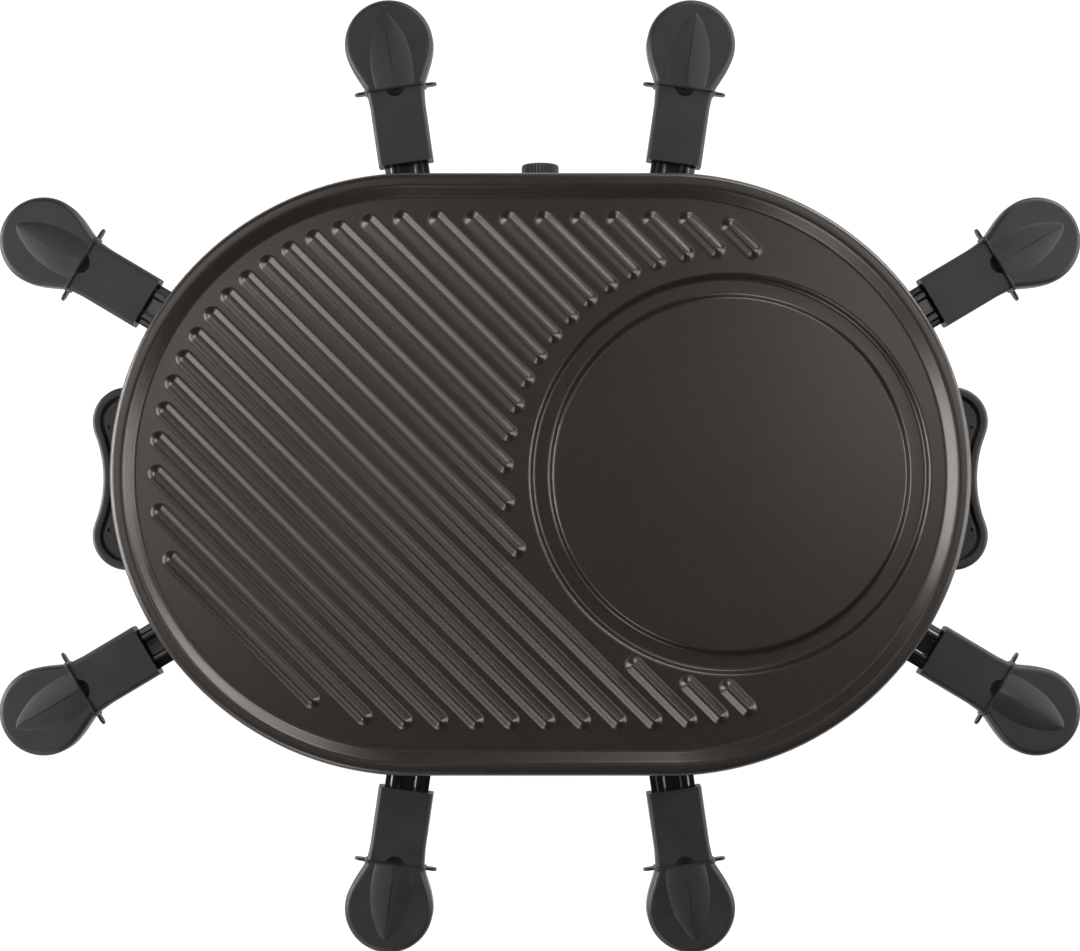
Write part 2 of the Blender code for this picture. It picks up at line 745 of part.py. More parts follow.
def make_end_stand(name, side):
    """Hollow upright between two side pans: it carries the plate, a grip and a bracket."""
    shape = shape_box(
        (stand_inner, -stand_half_width, upright_foot), (stand_outer, stand_half_width, upright_top))
    pockets = shape_pockets(stand_half_width, stand_inner, stand_outer, "y")
    peg_holes = [
        moved(shape_hole(PEG_RADIUS + GAP, -STAND_WALL - CUT_OVERRUN, CUT_OVERRUN),
              facing((1, 0, 0), (stand_outer, across * peg_spread, peg_level)))
        for across in (-1, 1)]
    peg_holes.append(moved(
        shape_hole(PEG_RADIUS + GAP, -CUT_OVERRUN, STAND_WALL),
        facing((1, 0, 0), (stand_inner, 0, bracket_peg_level))))
    facing_side = Matrix.Rotation(math.pi if side < 0 else 0, 4, "Z")
    stand = place_mesh(name, moved(shape, facing_side), phenolic)
    combine(stand, place_cutter(name + "_pockets", moved(pockets, facing_side)), "DIFFERENCE")
    through = moved(merged(peg_holes), facing_side)
    combine(stand, place_cutter(name + "_peg_holes", through), "DIFFERENCE")
    cut_screw_hole(stand, name.replace("stand", "stand_screw"))


def make_rear_stand():
    """Hollow upright between the two rear pans."""
    shape = shape_box(
        (-control_half_width, rear_inner, upright_foot), (control_half_width, rear_outer, upright_top))
    stand = place_mesh("rear_stand", shape, phenolic)
    pockets = shape_pockets(control_half_width, rear_inner, rear_outer, "x")
    combine(stand, place_cutter("rear_stand_pockets", pockets), "DIFFERENCE")
    hole = shape_hole(PEG_RADIUS + GAP, -CUT_OVERRUN, STAND_WALL)
    moved(hole, facing((0, 1, 0), (0, rear_inner, bracket_peg_level)))
    combine(stand, place_cutter("rear_stand_peg_hole", hole), "DIFFERENCE")
    cut_screw_hole(stand, "rear_stand_screw")


def grip_outline():
    """Two lobes and a waist: points of a grip's outline, from its root outwards."""
    root = stand_outer + GAP
    edge = PLATE_LENGTH / 2
    tip = edge + GRIP_REACH
    waist = tip - GRIP_WAIST
    # Shares of the half width and of the reach past the plate's edge
    lobe_shares = [
        (1.0, -0.70), (0.95, -0.12), (0.88, 0.30), (0.79, 0.66), (0.69, 0.90),
        (0.55, 1.0), (0.42, 0.95)]
    upper = [(edge + reach * GRIP_REACH, across * GRIP_HALF_WIDTH) for across, reach in lobe_shares]
    upper.append((waist + (tip - waist) / 2, GRIP_HALF_WIDTH * 0.28))
    upper.append((waist + (tip - waist) / 8, GRIP_HALF_WIDTH * 0.14))
    upper[0] = (root, GRIP_HALF_WIDTH)
    lower = [(x, -y) for x, y in upper]
    return lower + [(waist, 0)] + upper[::-1]


def make_side_grip(name, side):
    """Moulded grip with a raised band round a sunk panel and two pegs into its stand."""
    grip = shape_prism(grip_outline(), grip_level, grip_level + GRIP_THICKNESS)
    grip.normal_update()
    lid = [max(grip.faces, key=lambda face: face.normal.z)]
    bmesh.ops.inset_region(grip, faces=lid, thickness=GRIP_BAND, use_even_offset=True)
    wall = bmesh.ops.extrude_face_region(grip, geom=lid)["geom"]
    sunk = [item for item in wall if isinstance(item, bmesh.types.BMVert)]
    bmesh.ops.delete(grip, geom=lid, context="FACES_ONLY")
    bmesh.ops.translate(grip, verts=sunk, vec=(0, 0, -GRIP_PANEL_DEPTH))
    face_outwards(grip)
    set_back = Matrix.Translation((0, GRIP_SET_BACK, 0))
    facing_side = Matrix.Rotation(math.pi if side < 0 else 0, 4, "Z")
    made = place_mesh(name, moved(grip, set_back @ facing_side), phenolic)
    start = -(STAND_WALL + GAP)
    pegs = merged([
        moved(shape_hole(PEG_RADIUS, start, GRIP_BAND),
              facing((1, 0, 0), (stand_outer + GAP, across * peg_spread, peg_level)))
        for across in (-1, 1)])
    combine(made, place_cutter(name + "_pegs", moved(pegs, facing_side)), "UNION")


for stand_side, side_name in ((-1, "left"), (1, "right")):
    make_end_stand("end_stand_" + side_name, stand_side)
    make_side_grip("side_grip_" + side_name, stand_side)
make_rear_stand()


# Heating element, brackets and end sleeves
element_end_level = element_level - ELEMENT_END_DROP
cover_face = control_back - GAP
element_tip = -(control_back + SLEEVE_LENGTH)


def arc_points(centre, radius, start, end, steps):
    """Points on a flat arc, in radians."""
    return [
        Vector((centre[0] + radius * math.cos(start + (end - start) * step / steps),
                centre[1] + radius * math.sin(start + (end - start) * step / steps)))
        for step in range(steps + 1)]


def element_path():
    """Open loop under the plate whose two ends drop into the control housing."""
    radius = element_half_width
    half_straight = element_half_length - radius
    front = -radius
    quarter = math.pi / 2
    level = element_level
    drop_start = front - ELEMENT_BEND
    end_run = [
        (element_tip, element_end_level),
        (element_tip + 3 * SLEEVE_LENGTH / 2, element_end_level),
        (drop_start - ELEMENT_BEND / 4, element_end_level + ELEMENT_END_DROP / 3),
        (drop_start + ELEMENT_BEND / 8, level - ELEMENT_END_DROP / 8),
    ]
    half = [Vector((element_end_offset, y, z)) for y, z in end_run]
    corner = (element_end_offset + ELEMENT_BEND, front - ELEMENT_BEND)
    for point in arc_points(corner, ELEMENT_BEND, 2 * quarter, quarter, 4)[1:]:
        half.append(Vector((point.x, point.y, level)))
    for point in arc_points((half_straight, 0), radius, -quarter, 0, 7):
        half.append(Vector((point.x, point.y, level)))
    for point in arc_points((half_straight, 0), radius, 0, quarter, 7)[1:]:
        half.append(Vector((point.x, point.y, level)))
    return half + [Vector((-point.x, point.y, point.z)) for point in reversed(half)]


def make_tube(name, path, radius, material):
    """Tube along a path, with filled ends."""
    curve = bpy.data.curves.new(name, "CURVE")
    curve.dimensions = "3D"
    curve.bevel_depth = radius
    curve.bevel_resolution = 2
    curve.use_fill_caps = True
    curve.materials.append(material)
    spline = curve.splines.new("POLY")
    spline.points.add(len(path) - 1)
    for point, place in zip(spline.points, path):
        point.co = (*place, 1)
    made = bpy.data.objects.new(name, curve)
    grill_collection.objects.link(made)


def make_bracket(name, wall, reach, turn):
    """Bent strip: a tab pegged to an upright, an arm under the element, a lip inside it."""
    under = element_level - ELEMENT_RADIUS - GAP
    start = reach - ELEMENT_RADIUS - BRACKET_LIP_CLEARANCE - BRACKET_SHEET
    tab_face = wall - GAP
    arm_bottom = under - BRACKET_SHEET
    points = [
        (start, arm_bottom),
        (tab_face - BRACKET_SHEET, arm_bottom),
        (tab_face - BRACKET_SHEET, under - BRACKET_TAB),
        (tab_face, under - BRACKET_TAB),
        (tab_face, under),
        (start + BRACKET_SHEET, under),
        (start + BRACKET_SHEET, element_level),
        (start, element_level),
    ]
    shape = shape_prism(points, -BRACKET_WIDTH / 2, BRACKET_WIDTH / 2)
    stand_up = Matrix.Rotation(math.pi / 2, 4, "X")
    made = place_mesh(name, moved(shape, turn @ stand_up), bare_steel)
    peg = shape_hole(PEG_RADIUS, -BRACKET_SHEET / 2, STAND_WALL)
    moved(peg, turn @ facing((1, 0, 0), (tab_face, 0, bracket_peg_level)))
    combine(made, place_cutter(name + "_peg", peg), "UNION")


def make_end_sleeves():
    """Two ceramic sleeves where the element's ends pass the rear cover."""
    inner = ELEMENT_RADIUS + GAP
    outer = inner + SLEEVE_WALL
    flange = SLEEVE_LENGTH / 4
    start = -SLEEVE_LENGTH / 2
    profile = [
        (inner, start), (outer, start), (outer, flange), (outer + flange / 2, flange),
        (outer + flange / 2, 2 * flange), (inner, 2 * flange)]
    for side, side_name in ((-1, "left"), (1, "right")):
        sleeve = shape_turned(profile, HOLE_FACETS, "joined")
        at = (side * element_end_offset, -control_back, element_end_level)
        place_mesh("element_sleeve_" + side_name, moved(sleeve, facing((0, 1, 0), at)), ceramic)


make_tube("heating_element", element_path(), ELEMENT_RADIUS, element_steel)
quarter_turn = Matrix.Rotation(math.pi / 2, 4, "Z")
half_turn = Matrix.Rotation(math.pi, 4, "Z")
make_bracket("element_bracket_right", stand_inner, element_half_length, Matrix.Identity(4))
make_bracket("element_bracket_left", stand_inner, element_half_length, half_turn)
make_bracket("element_bracket_rear", rear_inner, element_half_width, quarter_turn)
make_end_sleeves()


# Control housing, thermostat, knob and lamp
thermostat_front = -(control_front - CONTROL_WALL - GAP)
knob_back = -(control_front + GAP)
knob_front = knob_back - KNOB_LENGTH
lens_flange_back = -(control_front + GAP)


def make_control_housing():
    """Upright box between the two front pans, open to the rear."""
    shape = shape_box(
        (-control_half_width, -control_front, upright_foot),
        (control_half_width, -control_back, upright_top))
    housing = place_mesh("control_housing", shape, phenolic)
    inner_half = control_half_width - CONTROL_WALL
    hollow = shape_box(
        (-inner_half, -control_front + CONTROL_WALL, upright_foot + CONTROL_BASE),
        (inner_half, -control_back + CUT_OVERRUN, upright_top - CONTROL_WALL))
    combine(housing, place_cutter("control_hollow", hollow), "DIFFERENCE")
    wall_low = control_front - CONTROL_WALL - CUT_OVERRUN
    wall_high = control_front + CUT_OVERRUN
    bush = moved(shape_hole(BUSH_RADIUS + GAP, wall_low, wall_high, ROUND_FACETS),
                 facing((0, -1, 0), (0, 0, knob_level)))
    lens = moved(shape_hole(LENS_RADIUS + GAP, wall_low, wall_high),
                 facing((0, -1, 0), (0, 0, lens_level)))
    lead = moved(shape_hole(LEAD_HOLE_RADIUS, upright_foot - CUT_OVERRUN,
                            upright_foot + CONTROL_BASE + CUT_OVERRUN),
                 Matrix.Translation((*lead_hole_place, 0)))
    combine(housing, place_cutter("control_holes", merged([bush, lens, lead])), "DIFFERENCE")
    cut_screw_hole(housing, "control_housing_screw")


def make_rear_cover():
    """Heat shield that closes the control housing, with a hole for each element end."""
    near = -cover_face
    shape = shape_box(
        (-control_half_width, near, upright_foot),
        (control_half_width, near + COVER_SHEET, upright_top - ELEMENT_RADIUS))
    cover = place_mesh("control_rear_cover", shape, bare_steel)
    radius = ELEMENT_RADIUS + 2 * GAP + SLEEVE_WALL
    holes = merged([
        moved(shape_hole(radius, near - CUT_OVERRUN, near + COVER_SHEET + CUT_OVERRUN),
              facing((0, 1, 0), (side * element_end_offset, 0, element_end_level)))
        for side in (-1, 1)])
    combine(cover, place_cutter("cover_holes", holes), "DIFFERENCE")


def make_thermostat():
    """Switch body behind the front wall, with a bush through the wall."""
    wide, deep, high = THERMOSTAT_SIZE
    shape = shape_box(
        (-wide / 2, thermostat_front, knob_level - high / 2),
        (wide / 2, thermostat_front + deep, knob_level + high / 2))
    body = place_mesh("thermostat_body", shape, moulded_black)
    along = facing((0, -1, 0), (0, 0, knob_level))
    start = -thermostat_front - SHAFT_SEAT / 2
    bush = moved(shape_hole(BUSH_RADIUS, start, control_front + BUSH_PROUD, ROUND_FACETS), along)
    combine(body, place_cutter("thermostat_bush", bush), "UNION")
    bore = moved(shape_hole(SHAFT_RADIUS + GAP, -thermostat_front - SHAFT_SEAT - GAP,
                            control_front + BUSH_PROUD + CUT_OVERRUN), along)
    combine(body, place_cutter("thermostat_bore", bore), "DIFFERENCE")


def make_knob():
    """Ribbed knob and its shaft, which turn together about the shaft's axis."""
    axis = bpy.data.objects.new("knob_axis", None)
    axis.location = (0, knob_back, knob_level)
    axis.rotation_euler = (math.pi / 2, 0, 0)
    grill_collection.objects.link(axis)
    count = 2 * KNOB_RIBS
    radii = [KNOB_RADIUS if index % 2 else KNOB_RADIUS - KNOB_FLUTE for index in range(count)]
    angles = [math.tau * index / count for index in range(count)]
    ribbed = [(radius * math.cos(a), radius * math.sin(a)) for radius, a in zip(radii, angles)]
    shrink = 1 - KNOB_ROUND / KNOB_RADIUS
    front = [(x * shrink, y * shrink) for x, y in ribbed]
    shape = bmesh.new()
    loft(shape, [
        outline_ring(shape, ribbed, 0),
        outline_ring(shape, ribbed, KNOB_LENGTH - KNOB_ROUND),
        outline_ring(shape, front, KNOB_LENGTH)])
    knob = place_mesh("control_knob", shape, moulded_black)
    knob.parent = axis
    bores = place_cutter("knob_recess", shape_hole(
        BUSH_RADIUS + 2 * GAP, -CUT_OVERRUN, BUSH_PROUD + GAP, ROUND_FACETS))
    socket = place_cutter(
        "knob_socket", shape_hole(SHAFT_RADIUS + GAP, -CUT_OVERRUN / 2, KNOB_SEAT + GAP))
    for cutter in (bores, socket):
        cutter.parent = axis
        combine(knob, cutter, "DIFFERENCE")
    shaft_start = -(thermostat_front - knob_back) - SHAFT_SEAT
    shaft = place_mesh(
        "thermostat_shaft", shape_hole(SHAFT_RADIUS, shaft_start, KNOB_SEAT), bare_steel)
    shaft.parent = axis


def make_pilot():
    """Snap-in neon pilot: a domed lens in the front wall, with its lamp body behind."""
    start = -lens_flange_back
    wall_back = control_front - CONTROL_WALL
    profile = [
        (LAMP_RADIUS, wall_back - LAMP_LENGTH),
        (LAMP_RADIUS, wall_back - GAP),
        (LENS_RADIUS, wall_back - GAP),
        (LENS_RADIUS, start),
        (LENS_RADIUS + LENS_FLANGE, start),
        (LENS_RADIUS, start + LENS_FLANGE),
        (LENS_RADIUS / 2, start + LENS_FLANGE * LENS_DOME_SHARE),
    ]
    along = facing((0, -1, 0), (0, 0, lens_level))
    place_mesh("pilot_lamp", moved(shape_turned(profile, HOLE_FACETS), along), red_lens)


make_control_housing()
make_rear_cover()
make_thermostat()
make_knob()
make_pilot()


# Inlet, terminal block and leads
terminal_y = oval_radius - tub_inset - TERMINAL_MARGIN
lead_level = tub_floor_top + GAP + TERMINAL_SIZE[2] / 2


def make_inlet():
    """Bushing in the tub's rear wall where the cord goes in."""
    wall = oval_radius - tub_inset
    inside = wall - TUB_WALL
    profile = [
        (BUSHING_BORE, inside - GAP - BUSHING_FLANGE / 2),
        (BUSHING_RADIUS + GAP, inside - GAP - BUSHING_FLANGE / 2),
        (BUSHING_RADIUS + GAP, inside - GAP),
        (BUSHING_RADIUS, inside - GAP),
        (BUSHING_RADIUS, wall + GAP),
        (BUSHING_FLANGE_RADIUS, wall + GAP),
        (BUSHING_FLANGE_RADIUS, wall + BUSHING_FLANGE / 2),
        (BUSHING_RADIUS, wall + BUSHING_FLANGE),
        (BUSHING_BORE, wall + BUSHING_FLANGE),
    ]
    bushing = shape_turned(profile, ROUND_FACETS, "joined")
    moved(bushing, facing((0, 1, 0), (0, 0, bushing_level)))
    place_mesh("cord_bushing", bushing, rubber)


def make_terminal_block():
    """Two-way block on the tub's floor, where the cord's wires meet the leads."""
    wide, deep, high = TERMINAL_SIZE
    low = tub_floor_top + GAP
    shape = shape_box(
        (-wide / 2, terminal_y - deep, low), (wide / 2, terminal_y, low + high))
    place_mesh("terminal_block", shape, ceramic)


def lead_path(side):
    """One lead: along the tub, up through the deck and to the thermostat."""
    x = side * LEAD_SPACING / 2
    start_y = terminal_y - TERMINAL_SIZE[1] - GAP
    up_y = lead_hole_place[1]
    end_z = knob_level - THERMOSTAT_SIZE[2] / 2 - GAP
    thermostat_y = thermostat_front + THERMOSTAT_SIZE[1] / 2
    path = [Vector((x, start_y, lead_level)), Vector((x, up_y + 2 * LEAD_BEND, lead_level))]
    bend = arc_points((up_y + LEAD_BEND, lead_level + LEAD_BEND), LEAD_BEND,
                      -math.pi / 2, -math.pi, 5)
    path += [Vector((x, point.x, point.y)) for point in bend]
    rise = upright_foot + CONTROL_BASE
    path.append(Vector((x, up_y, rise)))
    path.append(Vector((x, (up_y + thermostat_y) / 2, (rise + end_z) / 2)))
    path.append(Vector((x, thermostat_y, end_z - 2 * LEAD_RADIUS)))
    path.append(Vector((x, thermostat_y, end_z)))
    return path


make_inlet()
make_terminal_block()
for lead_number, lead_side in ((1, -1), (2, 1)):
    make_tube(f"supply_lead_{lead_number}", lead_path(lead_side), LEAD_RADIUS, lead_cover)


# Pans, each with a stem, rivets and a handle
def wedge(inset, end_inset):
    """Outline of a pan at one level: narrow at its inner end, rounded at its corners."""
    inner = pan_inner_width / 2 - inset
    outer = pan_outer_width / 2 - inset
    start = -PAN_LENGTH + inset
    corners = [(start, -inner), (-end_inset, -outer), (-end_inset, outer), (start, inner)]
    return rounded_outline(corners, PAN_CORNER - inset, PAN_CORNER_STEPS)


def shape_pan():
    """Pressed dish with a lip, open at the top."""
    levels = [
        (PAN_DRAFT, 0, GAP),
        (0, 0, pan_lip_bottom),
        (-PAN_LIP, -PAN_LIP, pan_lip_bottom),
        (-PAN_LIP, -PAN_LIP, pan_rim),
        (PAN_WALL, PAN_WALL, pan_rim),
        (PAN_DRAFT + PAN_WALL, PAN_WALL, GAP + PAN_WALL),
    ]
    shape = bmesh.new()
    return loft(shape, [outline_ring(shape, wedge(a, b), z) for a, b, z in levels])


tab_start = GAP
rivet_level = (TAB_DECK_CLEARANCE + stem_bottom) / 2


def shape_rivets():
    """Two rivets through the tab and the pan's outer wall, formed in one with the stem."""
    inside = -PAN_WALL - GAP
    outside = tab_start + STEM_SHEET
    profile = [
        (RIVET_HEAD_RADIUS * HEAD_TOP_SHARE, inside - RIVET_HEAD_RISE),
        (RIVET_HEAD_RADIUS, inside),
        (RIVET_RADIUS, inside),
        (RIVET_RADIUS, outside - STEM_SHEET / 2),
        (RIVET_HEAD_RADIUS, outside - STEM_SHEET / 2),
        (RIVET_HEAD_RADIUS, outside),
        (RIVET_HEAD_RADIUS * HEAD_TOP_SHARE, outside + RIVET_HEAD_RISE),
    ]
    return merged([
        moved(shape_turned(profile, SCREW_FACETS),
              facing((1, 0, 0), (0, side * RIVET_OFFSET, rivet_level)))
        for side in (-1, 1)])


def shape_stem():
    """Tongue whose section has two beads, before its tab is added."""
    half = STEM_WIDTH / 2
    section = [(-half, stem_bottom), (half, stem_bottom), (half, stem_top)]
    bead_shares = ((0.5, 0), (0.25, 1), (-0.25, 1), (-0.5, 0))
    for side in (1, -1):
        middle = side * STEM_BEAD_OFFSET
        for across, rise in bead_shares:
            section.append((middle + across * STEM_BEAD_WIDTH, stem_top + rise * STEM_BEAD_RISE))
    section.append((-half, stem_top))
    return moved(shape_prism(section, tab_start, STEM_SHOW + STEM_TANG), lie_along_x)


def bulb_outline():
    """Neck and round bulb of a handle, in the pan's frame."""
    half_neck = NECK_WIDTH / 2
    angles = [BULB_START_ANGLE * (1 - step / BULB_STEPS) for step in range(BULB_STEPS + 1)]
    arc = [(bulb_reach + BULB_RADIUS * math.cos(angle), BULB_RADIUS * math.sin(angle))
           for angle in angles]
    blend_x = (guard_reach + arc[0][0]) / 2
    blend_y = half_neck + (arc[0][1] - half_neck) * NECK_BLEND_SHARE
    upper = [(guard_reach, half_neck), (blend_x, blend_y)] + arc
    return [(x, -y) for x, y in upper] + upper[-2::-1]


def block_outline():
    """Flat part of a handle, whose sides flare a little before the guard."""
    half_block = BLOCK_WIDTH / 2
    upper = [(guard_reach, NECK_WIDTH / 2), (guard_reach - BLOCK_FLARE, half_block),
             (STEM_SHOW, half_block)]
    return upper + [(x, -y) for x, y in upper[::-1]]


def shape_spine():
    """Leaf-shaped hump on the top of a bulb, cut off at the guard."""
    shape = bmesh.new()
    poles_along_x = Matrix.Rotation(math.pi / 2, 4, "Y")
    bmesh.ops.create_uvsphere(
        shape, u_segments=SPINE_SIDES, v_segments=SPINE_STEPS, radius=1, matrix=poles_along_x)
    widest = guard_reach + SPINE_WIDEST
    half_length = bulb_reach + BULB_RADIUS - SPINE_TIP_MARGIN - widest
    stretch = Matrix.Diagonal((half_length, SPINE_WIDTH / 2, SPINE_RISE, 1))
    moved(shape, Matrix.Translation((widest, 0, handle_level + BULB_THICKNESS / 2)) @ stretch)
    for corner in shape.verts:
        corner.co.x = max(corner.co.x, guard_reach)
    return shape


def guard_plate(width, height, corner):
    """Thin upright plate with round corners at the end of a handle's flat part."""
    half_width, half_height = width / 2, height / 2
    outline = rounded_outline(
        [(-half_width, -half_height), (half_width, -half_height), (half_width, half_height),
         (-half_width, half_height)], corner, CORNER_STEPS)
    plate = shape_prism(outline, -GUARD_THICKNESS / 2, GUARD_THICKNESS / 2)
    return moved(plate, Matrix.Translation((guard_reach, 0, handle_level)) @ lie_along_x)


def make_handle_master():
    """Flat block, guard with two wings and bulb in one moulding, with a pocket for the stem."""
    block = place_mesh("pan_handle_master", shape_prism(
        block_outline(), handle_level - BLOCK_THICKNESS / 2, handle_level + BLOCK_THICKNESS / 2),
        phenolic, cutter_collection)
    guard = guard_plate(NECK_WIDTH + 2 * GUARD_BORDER, GUARD_HEIGHT, GUARD_CORNER)
    combine(block, place_cutter("guard_shape", guard), "UNION")
    wings = guard_plate(WING_SPAN, WING_HEIGHT, WING_CORNER)
    combine(block, place_cutter("guard_wings", wings), "UNION")
    outline = bulb_outline()
    shrink = 1 - BULB_CHAMFER / BULB_RADIUS
    small = [(max(guard_reach, bulb_reach + (x - bulb_reach) * shrink), y * shrink)
             for x, y in outline]
    half = BULB_THICKNESS / 2
    bulb = bmesh.new()
    loft(bulb, [
        outline_ring(bulb, small, handle_level - half),
        outline_ring(bulb, outline, handle_level - half + BULB_CHAMFER),
        outline_ring(bulb, outline, handle_level + half - BULB_CHAMFER),
        outline_ring(bulb, small, handle_level + half)])
    combine(block, place_cutter("bulb_shape", bulb), "UNION")
    combine(block, place_cutter("spine_shape", shape_spine()), "UNION")
    pocket = shape_box(
        (STEM_SHOW - CUT_OVERRUN, -STEM_WIDTH / 2 - GAP, stem_bottom - GAP),
        (STEM_SHOW + STEM_TANG + GAP, STEM_WIDTH / 2 + GAP, stem_top + STEM_BEAD_RISE + GAP))
    combine(block, place_cutter("handle_pocket", pocket), "DIFFERENCE")
    return block


def make_pan_master():
    """Dish with two rivet holes."""
    pan = place_mesh("pan_master", shape_pan(), coated_steel, cutter_collection)
    holes = merged([
        moved(shape_hole(RIVET_RADIUS + GAP, -PAN_WALL - CUT_OVERRUN, CUT_OVERRUN, SCREW_FACETS),
              facing((1, 0, 0), (0, side * RIVET_OFFSET, rivet_level)))
        for side in (-1, 1)])
    combine(pan, place_cutter("pan_rivet_holes", holes), "DIFFERENCE")
    return pan


def make_stem_master():
    """Tongue joined to its tab and its two rivets."""
    stem = place_mesh("pan_stem_master", shape_stem(), black_steel, cutter_collection)
    half = STEM_WIDTH / 2
    tab = shape_box(
        (tab_start, -half, TAB_DECK_CLEARANCE),
        (tab_start + STEM_SHEET, half, handle_level))
    combine(stem, place_cutter("stem_tab", tab), "UNION")
    combine(stem, place_cutter("stem_rivets", shape_rivets()), "UNION")
    return stem


def make_pans():
    """Eight pans round the deck, mirrored left to right and front to rear."""
    masters = {
        "": make_pan_master(),
        "_stem": make_stem_master(),
        "_handle": make_handle_master(),
    }
    bpy.context.view_layer.update()
    meshes = {suffix: finished_mesh(master, "pan" + suffix) for suffix, master in masters.items()}
    for master in masters.values():
        bpy.data.objects.remove(master, do_unlink=True)
    kinds = [
        (front_pan_place, FRONT_PAN_HEADING, -1, -1),
        (front_pan_place, FRONT_PAN_HEADING, 1, -1),
        (side_pan_place, SIDE_PAN_HEADING, 1, -1),
        (side_pan_place, SIDE_PAN_HEADING, 1, 1),
        (front_pan_place, FRONT_PAN_HEADING, 1, 1),
        (front_pan_place, FRONT_PAN_HEADING, -1, 1),
        (side_pan_place, SIDE_PAN_HEADING, -1, 1),
        (side_pan_place, SIDE_PAN_HEADING, -1, -1),
    ]
    for number, (place, heading, side_x, side_y) in enumerate(kinds, start=1):
        frame = bpy.data.objects.new(f"pan_{number}_frame", None)
        frame.location = (place.x * side_x, place.y * side_y, DECK_TOP)
        frame.rotation_euler.z = math.atan2(math.sin(heading) * side_y, math.cos(heading) * side_x)
        grill_collection.objects.link(frame)
        for suffix, mesh in meshes.items():
            piece = bpy.data.objects.new(f"pan_{number}{suffix}", mesh)
            piece.parent = frame
            grill_collection.objects.link(piece)


make_pans()
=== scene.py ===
"""Gourmet grill: an oval table-top grill plate over a deck of eight sliding pans.

The object is dressed in the order in which it is put together. Sizes are in millimetres, and
make_piece brings each finished shape to the frame's metres. The knob side faces -Y.
"""

import math

import bmesh
import bpy
from mathutils import Matrix, Vector


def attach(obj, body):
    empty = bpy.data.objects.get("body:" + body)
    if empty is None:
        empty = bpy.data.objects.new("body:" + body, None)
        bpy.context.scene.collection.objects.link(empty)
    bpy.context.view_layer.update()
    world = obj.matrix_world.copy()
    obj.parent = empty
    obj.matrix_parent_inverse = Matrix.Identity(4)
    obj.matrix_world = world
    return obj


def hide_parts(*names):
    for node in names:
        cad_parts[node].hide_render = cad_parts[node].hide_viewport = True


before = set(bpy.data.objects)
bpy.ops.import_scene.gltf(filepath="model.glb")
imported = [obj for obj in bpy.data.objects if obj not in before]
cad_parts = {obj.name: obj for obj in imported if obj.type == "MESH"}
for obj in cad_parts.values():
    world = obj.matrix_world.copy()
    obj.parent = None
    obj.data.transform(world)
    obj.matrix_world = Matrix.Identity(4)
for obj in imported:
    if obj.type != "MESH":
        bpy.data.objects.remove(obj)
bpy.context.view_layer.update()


# Camera: straight above the plate, with the knob side at the top of the picture. The picture
# is 1080 by 951, and a small shift puts the lens axis a little below the plate's middle.
camera_data = bpy.data.cameras.new("photo_camera")
camera_data.lens = 73.65
camera_data.sensor_width = 36
camera_data.shift_x = 0.0116
camera_data.shift_y = 0.0472
camera = bpy.data.objects.new("photo_camera", camera_data)
camera.location = (0.0065, 0.026, 1.211)
camera.rotation_euler = (0, 0, math.pi)
bpy.context.scene.collection.objects.link(camera)
bpy.context.scene.camera = camera
bpy.context.scene.view_settings.view_transform = "Standard"


# Studio: a white sweep with softboxes round the grill and two panels overhead. The room above
# is dark, so that only the lamps shine in the dark coatings.
def colour(hex_code):
    """Linear colour with alpha from an sRGB hex code."""
    parts = [int(hex_code[place:place + 2], 16) / 255 for place in (1, 3, 5)]
    linear = [p / 12.92 if p <= 0.04045 else ((p + 0.055) / 1.055) ** 2.4 for p in parts]
    return (*linear, 1.0)


def feed(node, sources):
    """Lead outputs into a node's sockets; a node as the source stands for its first output."""
    for socket, source in sources.items():
        if isinstance(source, bpy.types.Node):
            source = source.outputs[0]
        node.id_data.links.new(source, node.inputs[socket])


def add_node(tree, kind, values=None, links=None, **settings):
    """Add a node, whose kind leaves out ShaderNode: sockets' values, links in, and settings."""
    node = tree.nodes.new("ShaderNode" + kind)
    for name, value in settings.items():
        setattr(node, name, value)
    for socket, value in (values or {}).items():
        node.inputs[socket].default_value = value
    feed(node, links or {})
    return node


def seen_directly(tree):
    """Light Path outputs: 1 for camera, glossy and transmission rays, 1 for camera rays alone."""
    path = add_node(tree, "LightPath")
    mirrored = add_node(
        tree, "Math", None,
        {0: path.outputs["Is Glossy Ray"], 1: path.outputs["Is Transmission Ray"]},
        operation="MAXIMUM")
    either = add_node(
        tree, "Math", None, {0: path.outputs["Is Camera Ray"], 1: mirrored}, operation="MAXIMUM")
    return either.outputs[0], path.outputs["Is Camera Ray"]


world = bpy.data.worlds.new("studio")
bpy.context.scene.world = world
world.use_nodes = True
sky = world.node_tree
sky.nodes.clear()
direction = add_node(sky, "TexCoord")
split = add_node(sky, "SeparateXYZ", None, {0: direction.outputs["Generated"]})
# Sine of the elevation: white sweep at the horizon, dark room above about 4 degrees
sweep = add_node(sky, "MapRange", {1: 0.0, 2: 0.07, 3: 1.0, 4: 0.05}, {0: split.outputs["Z"]})
seen, by_camera = seen_directly(sky)
room = add_node(sky, "Mix", {3: 1.0}, {0: by_camera, 2: sweep}, data_type="FLOAT")
ambient = add_node(sky, "Background", {0: colour("#ffffff"), 1: 0.15})
shown = add_node(sky, "Background", {0: colour("#ffffff")}, {1: room})
mixed = add_node(sky, "MixShader", None, {0: seen, 1: ambient, 2: shown})
add_node(sky, "OutputWorld", None, {0: mixed})

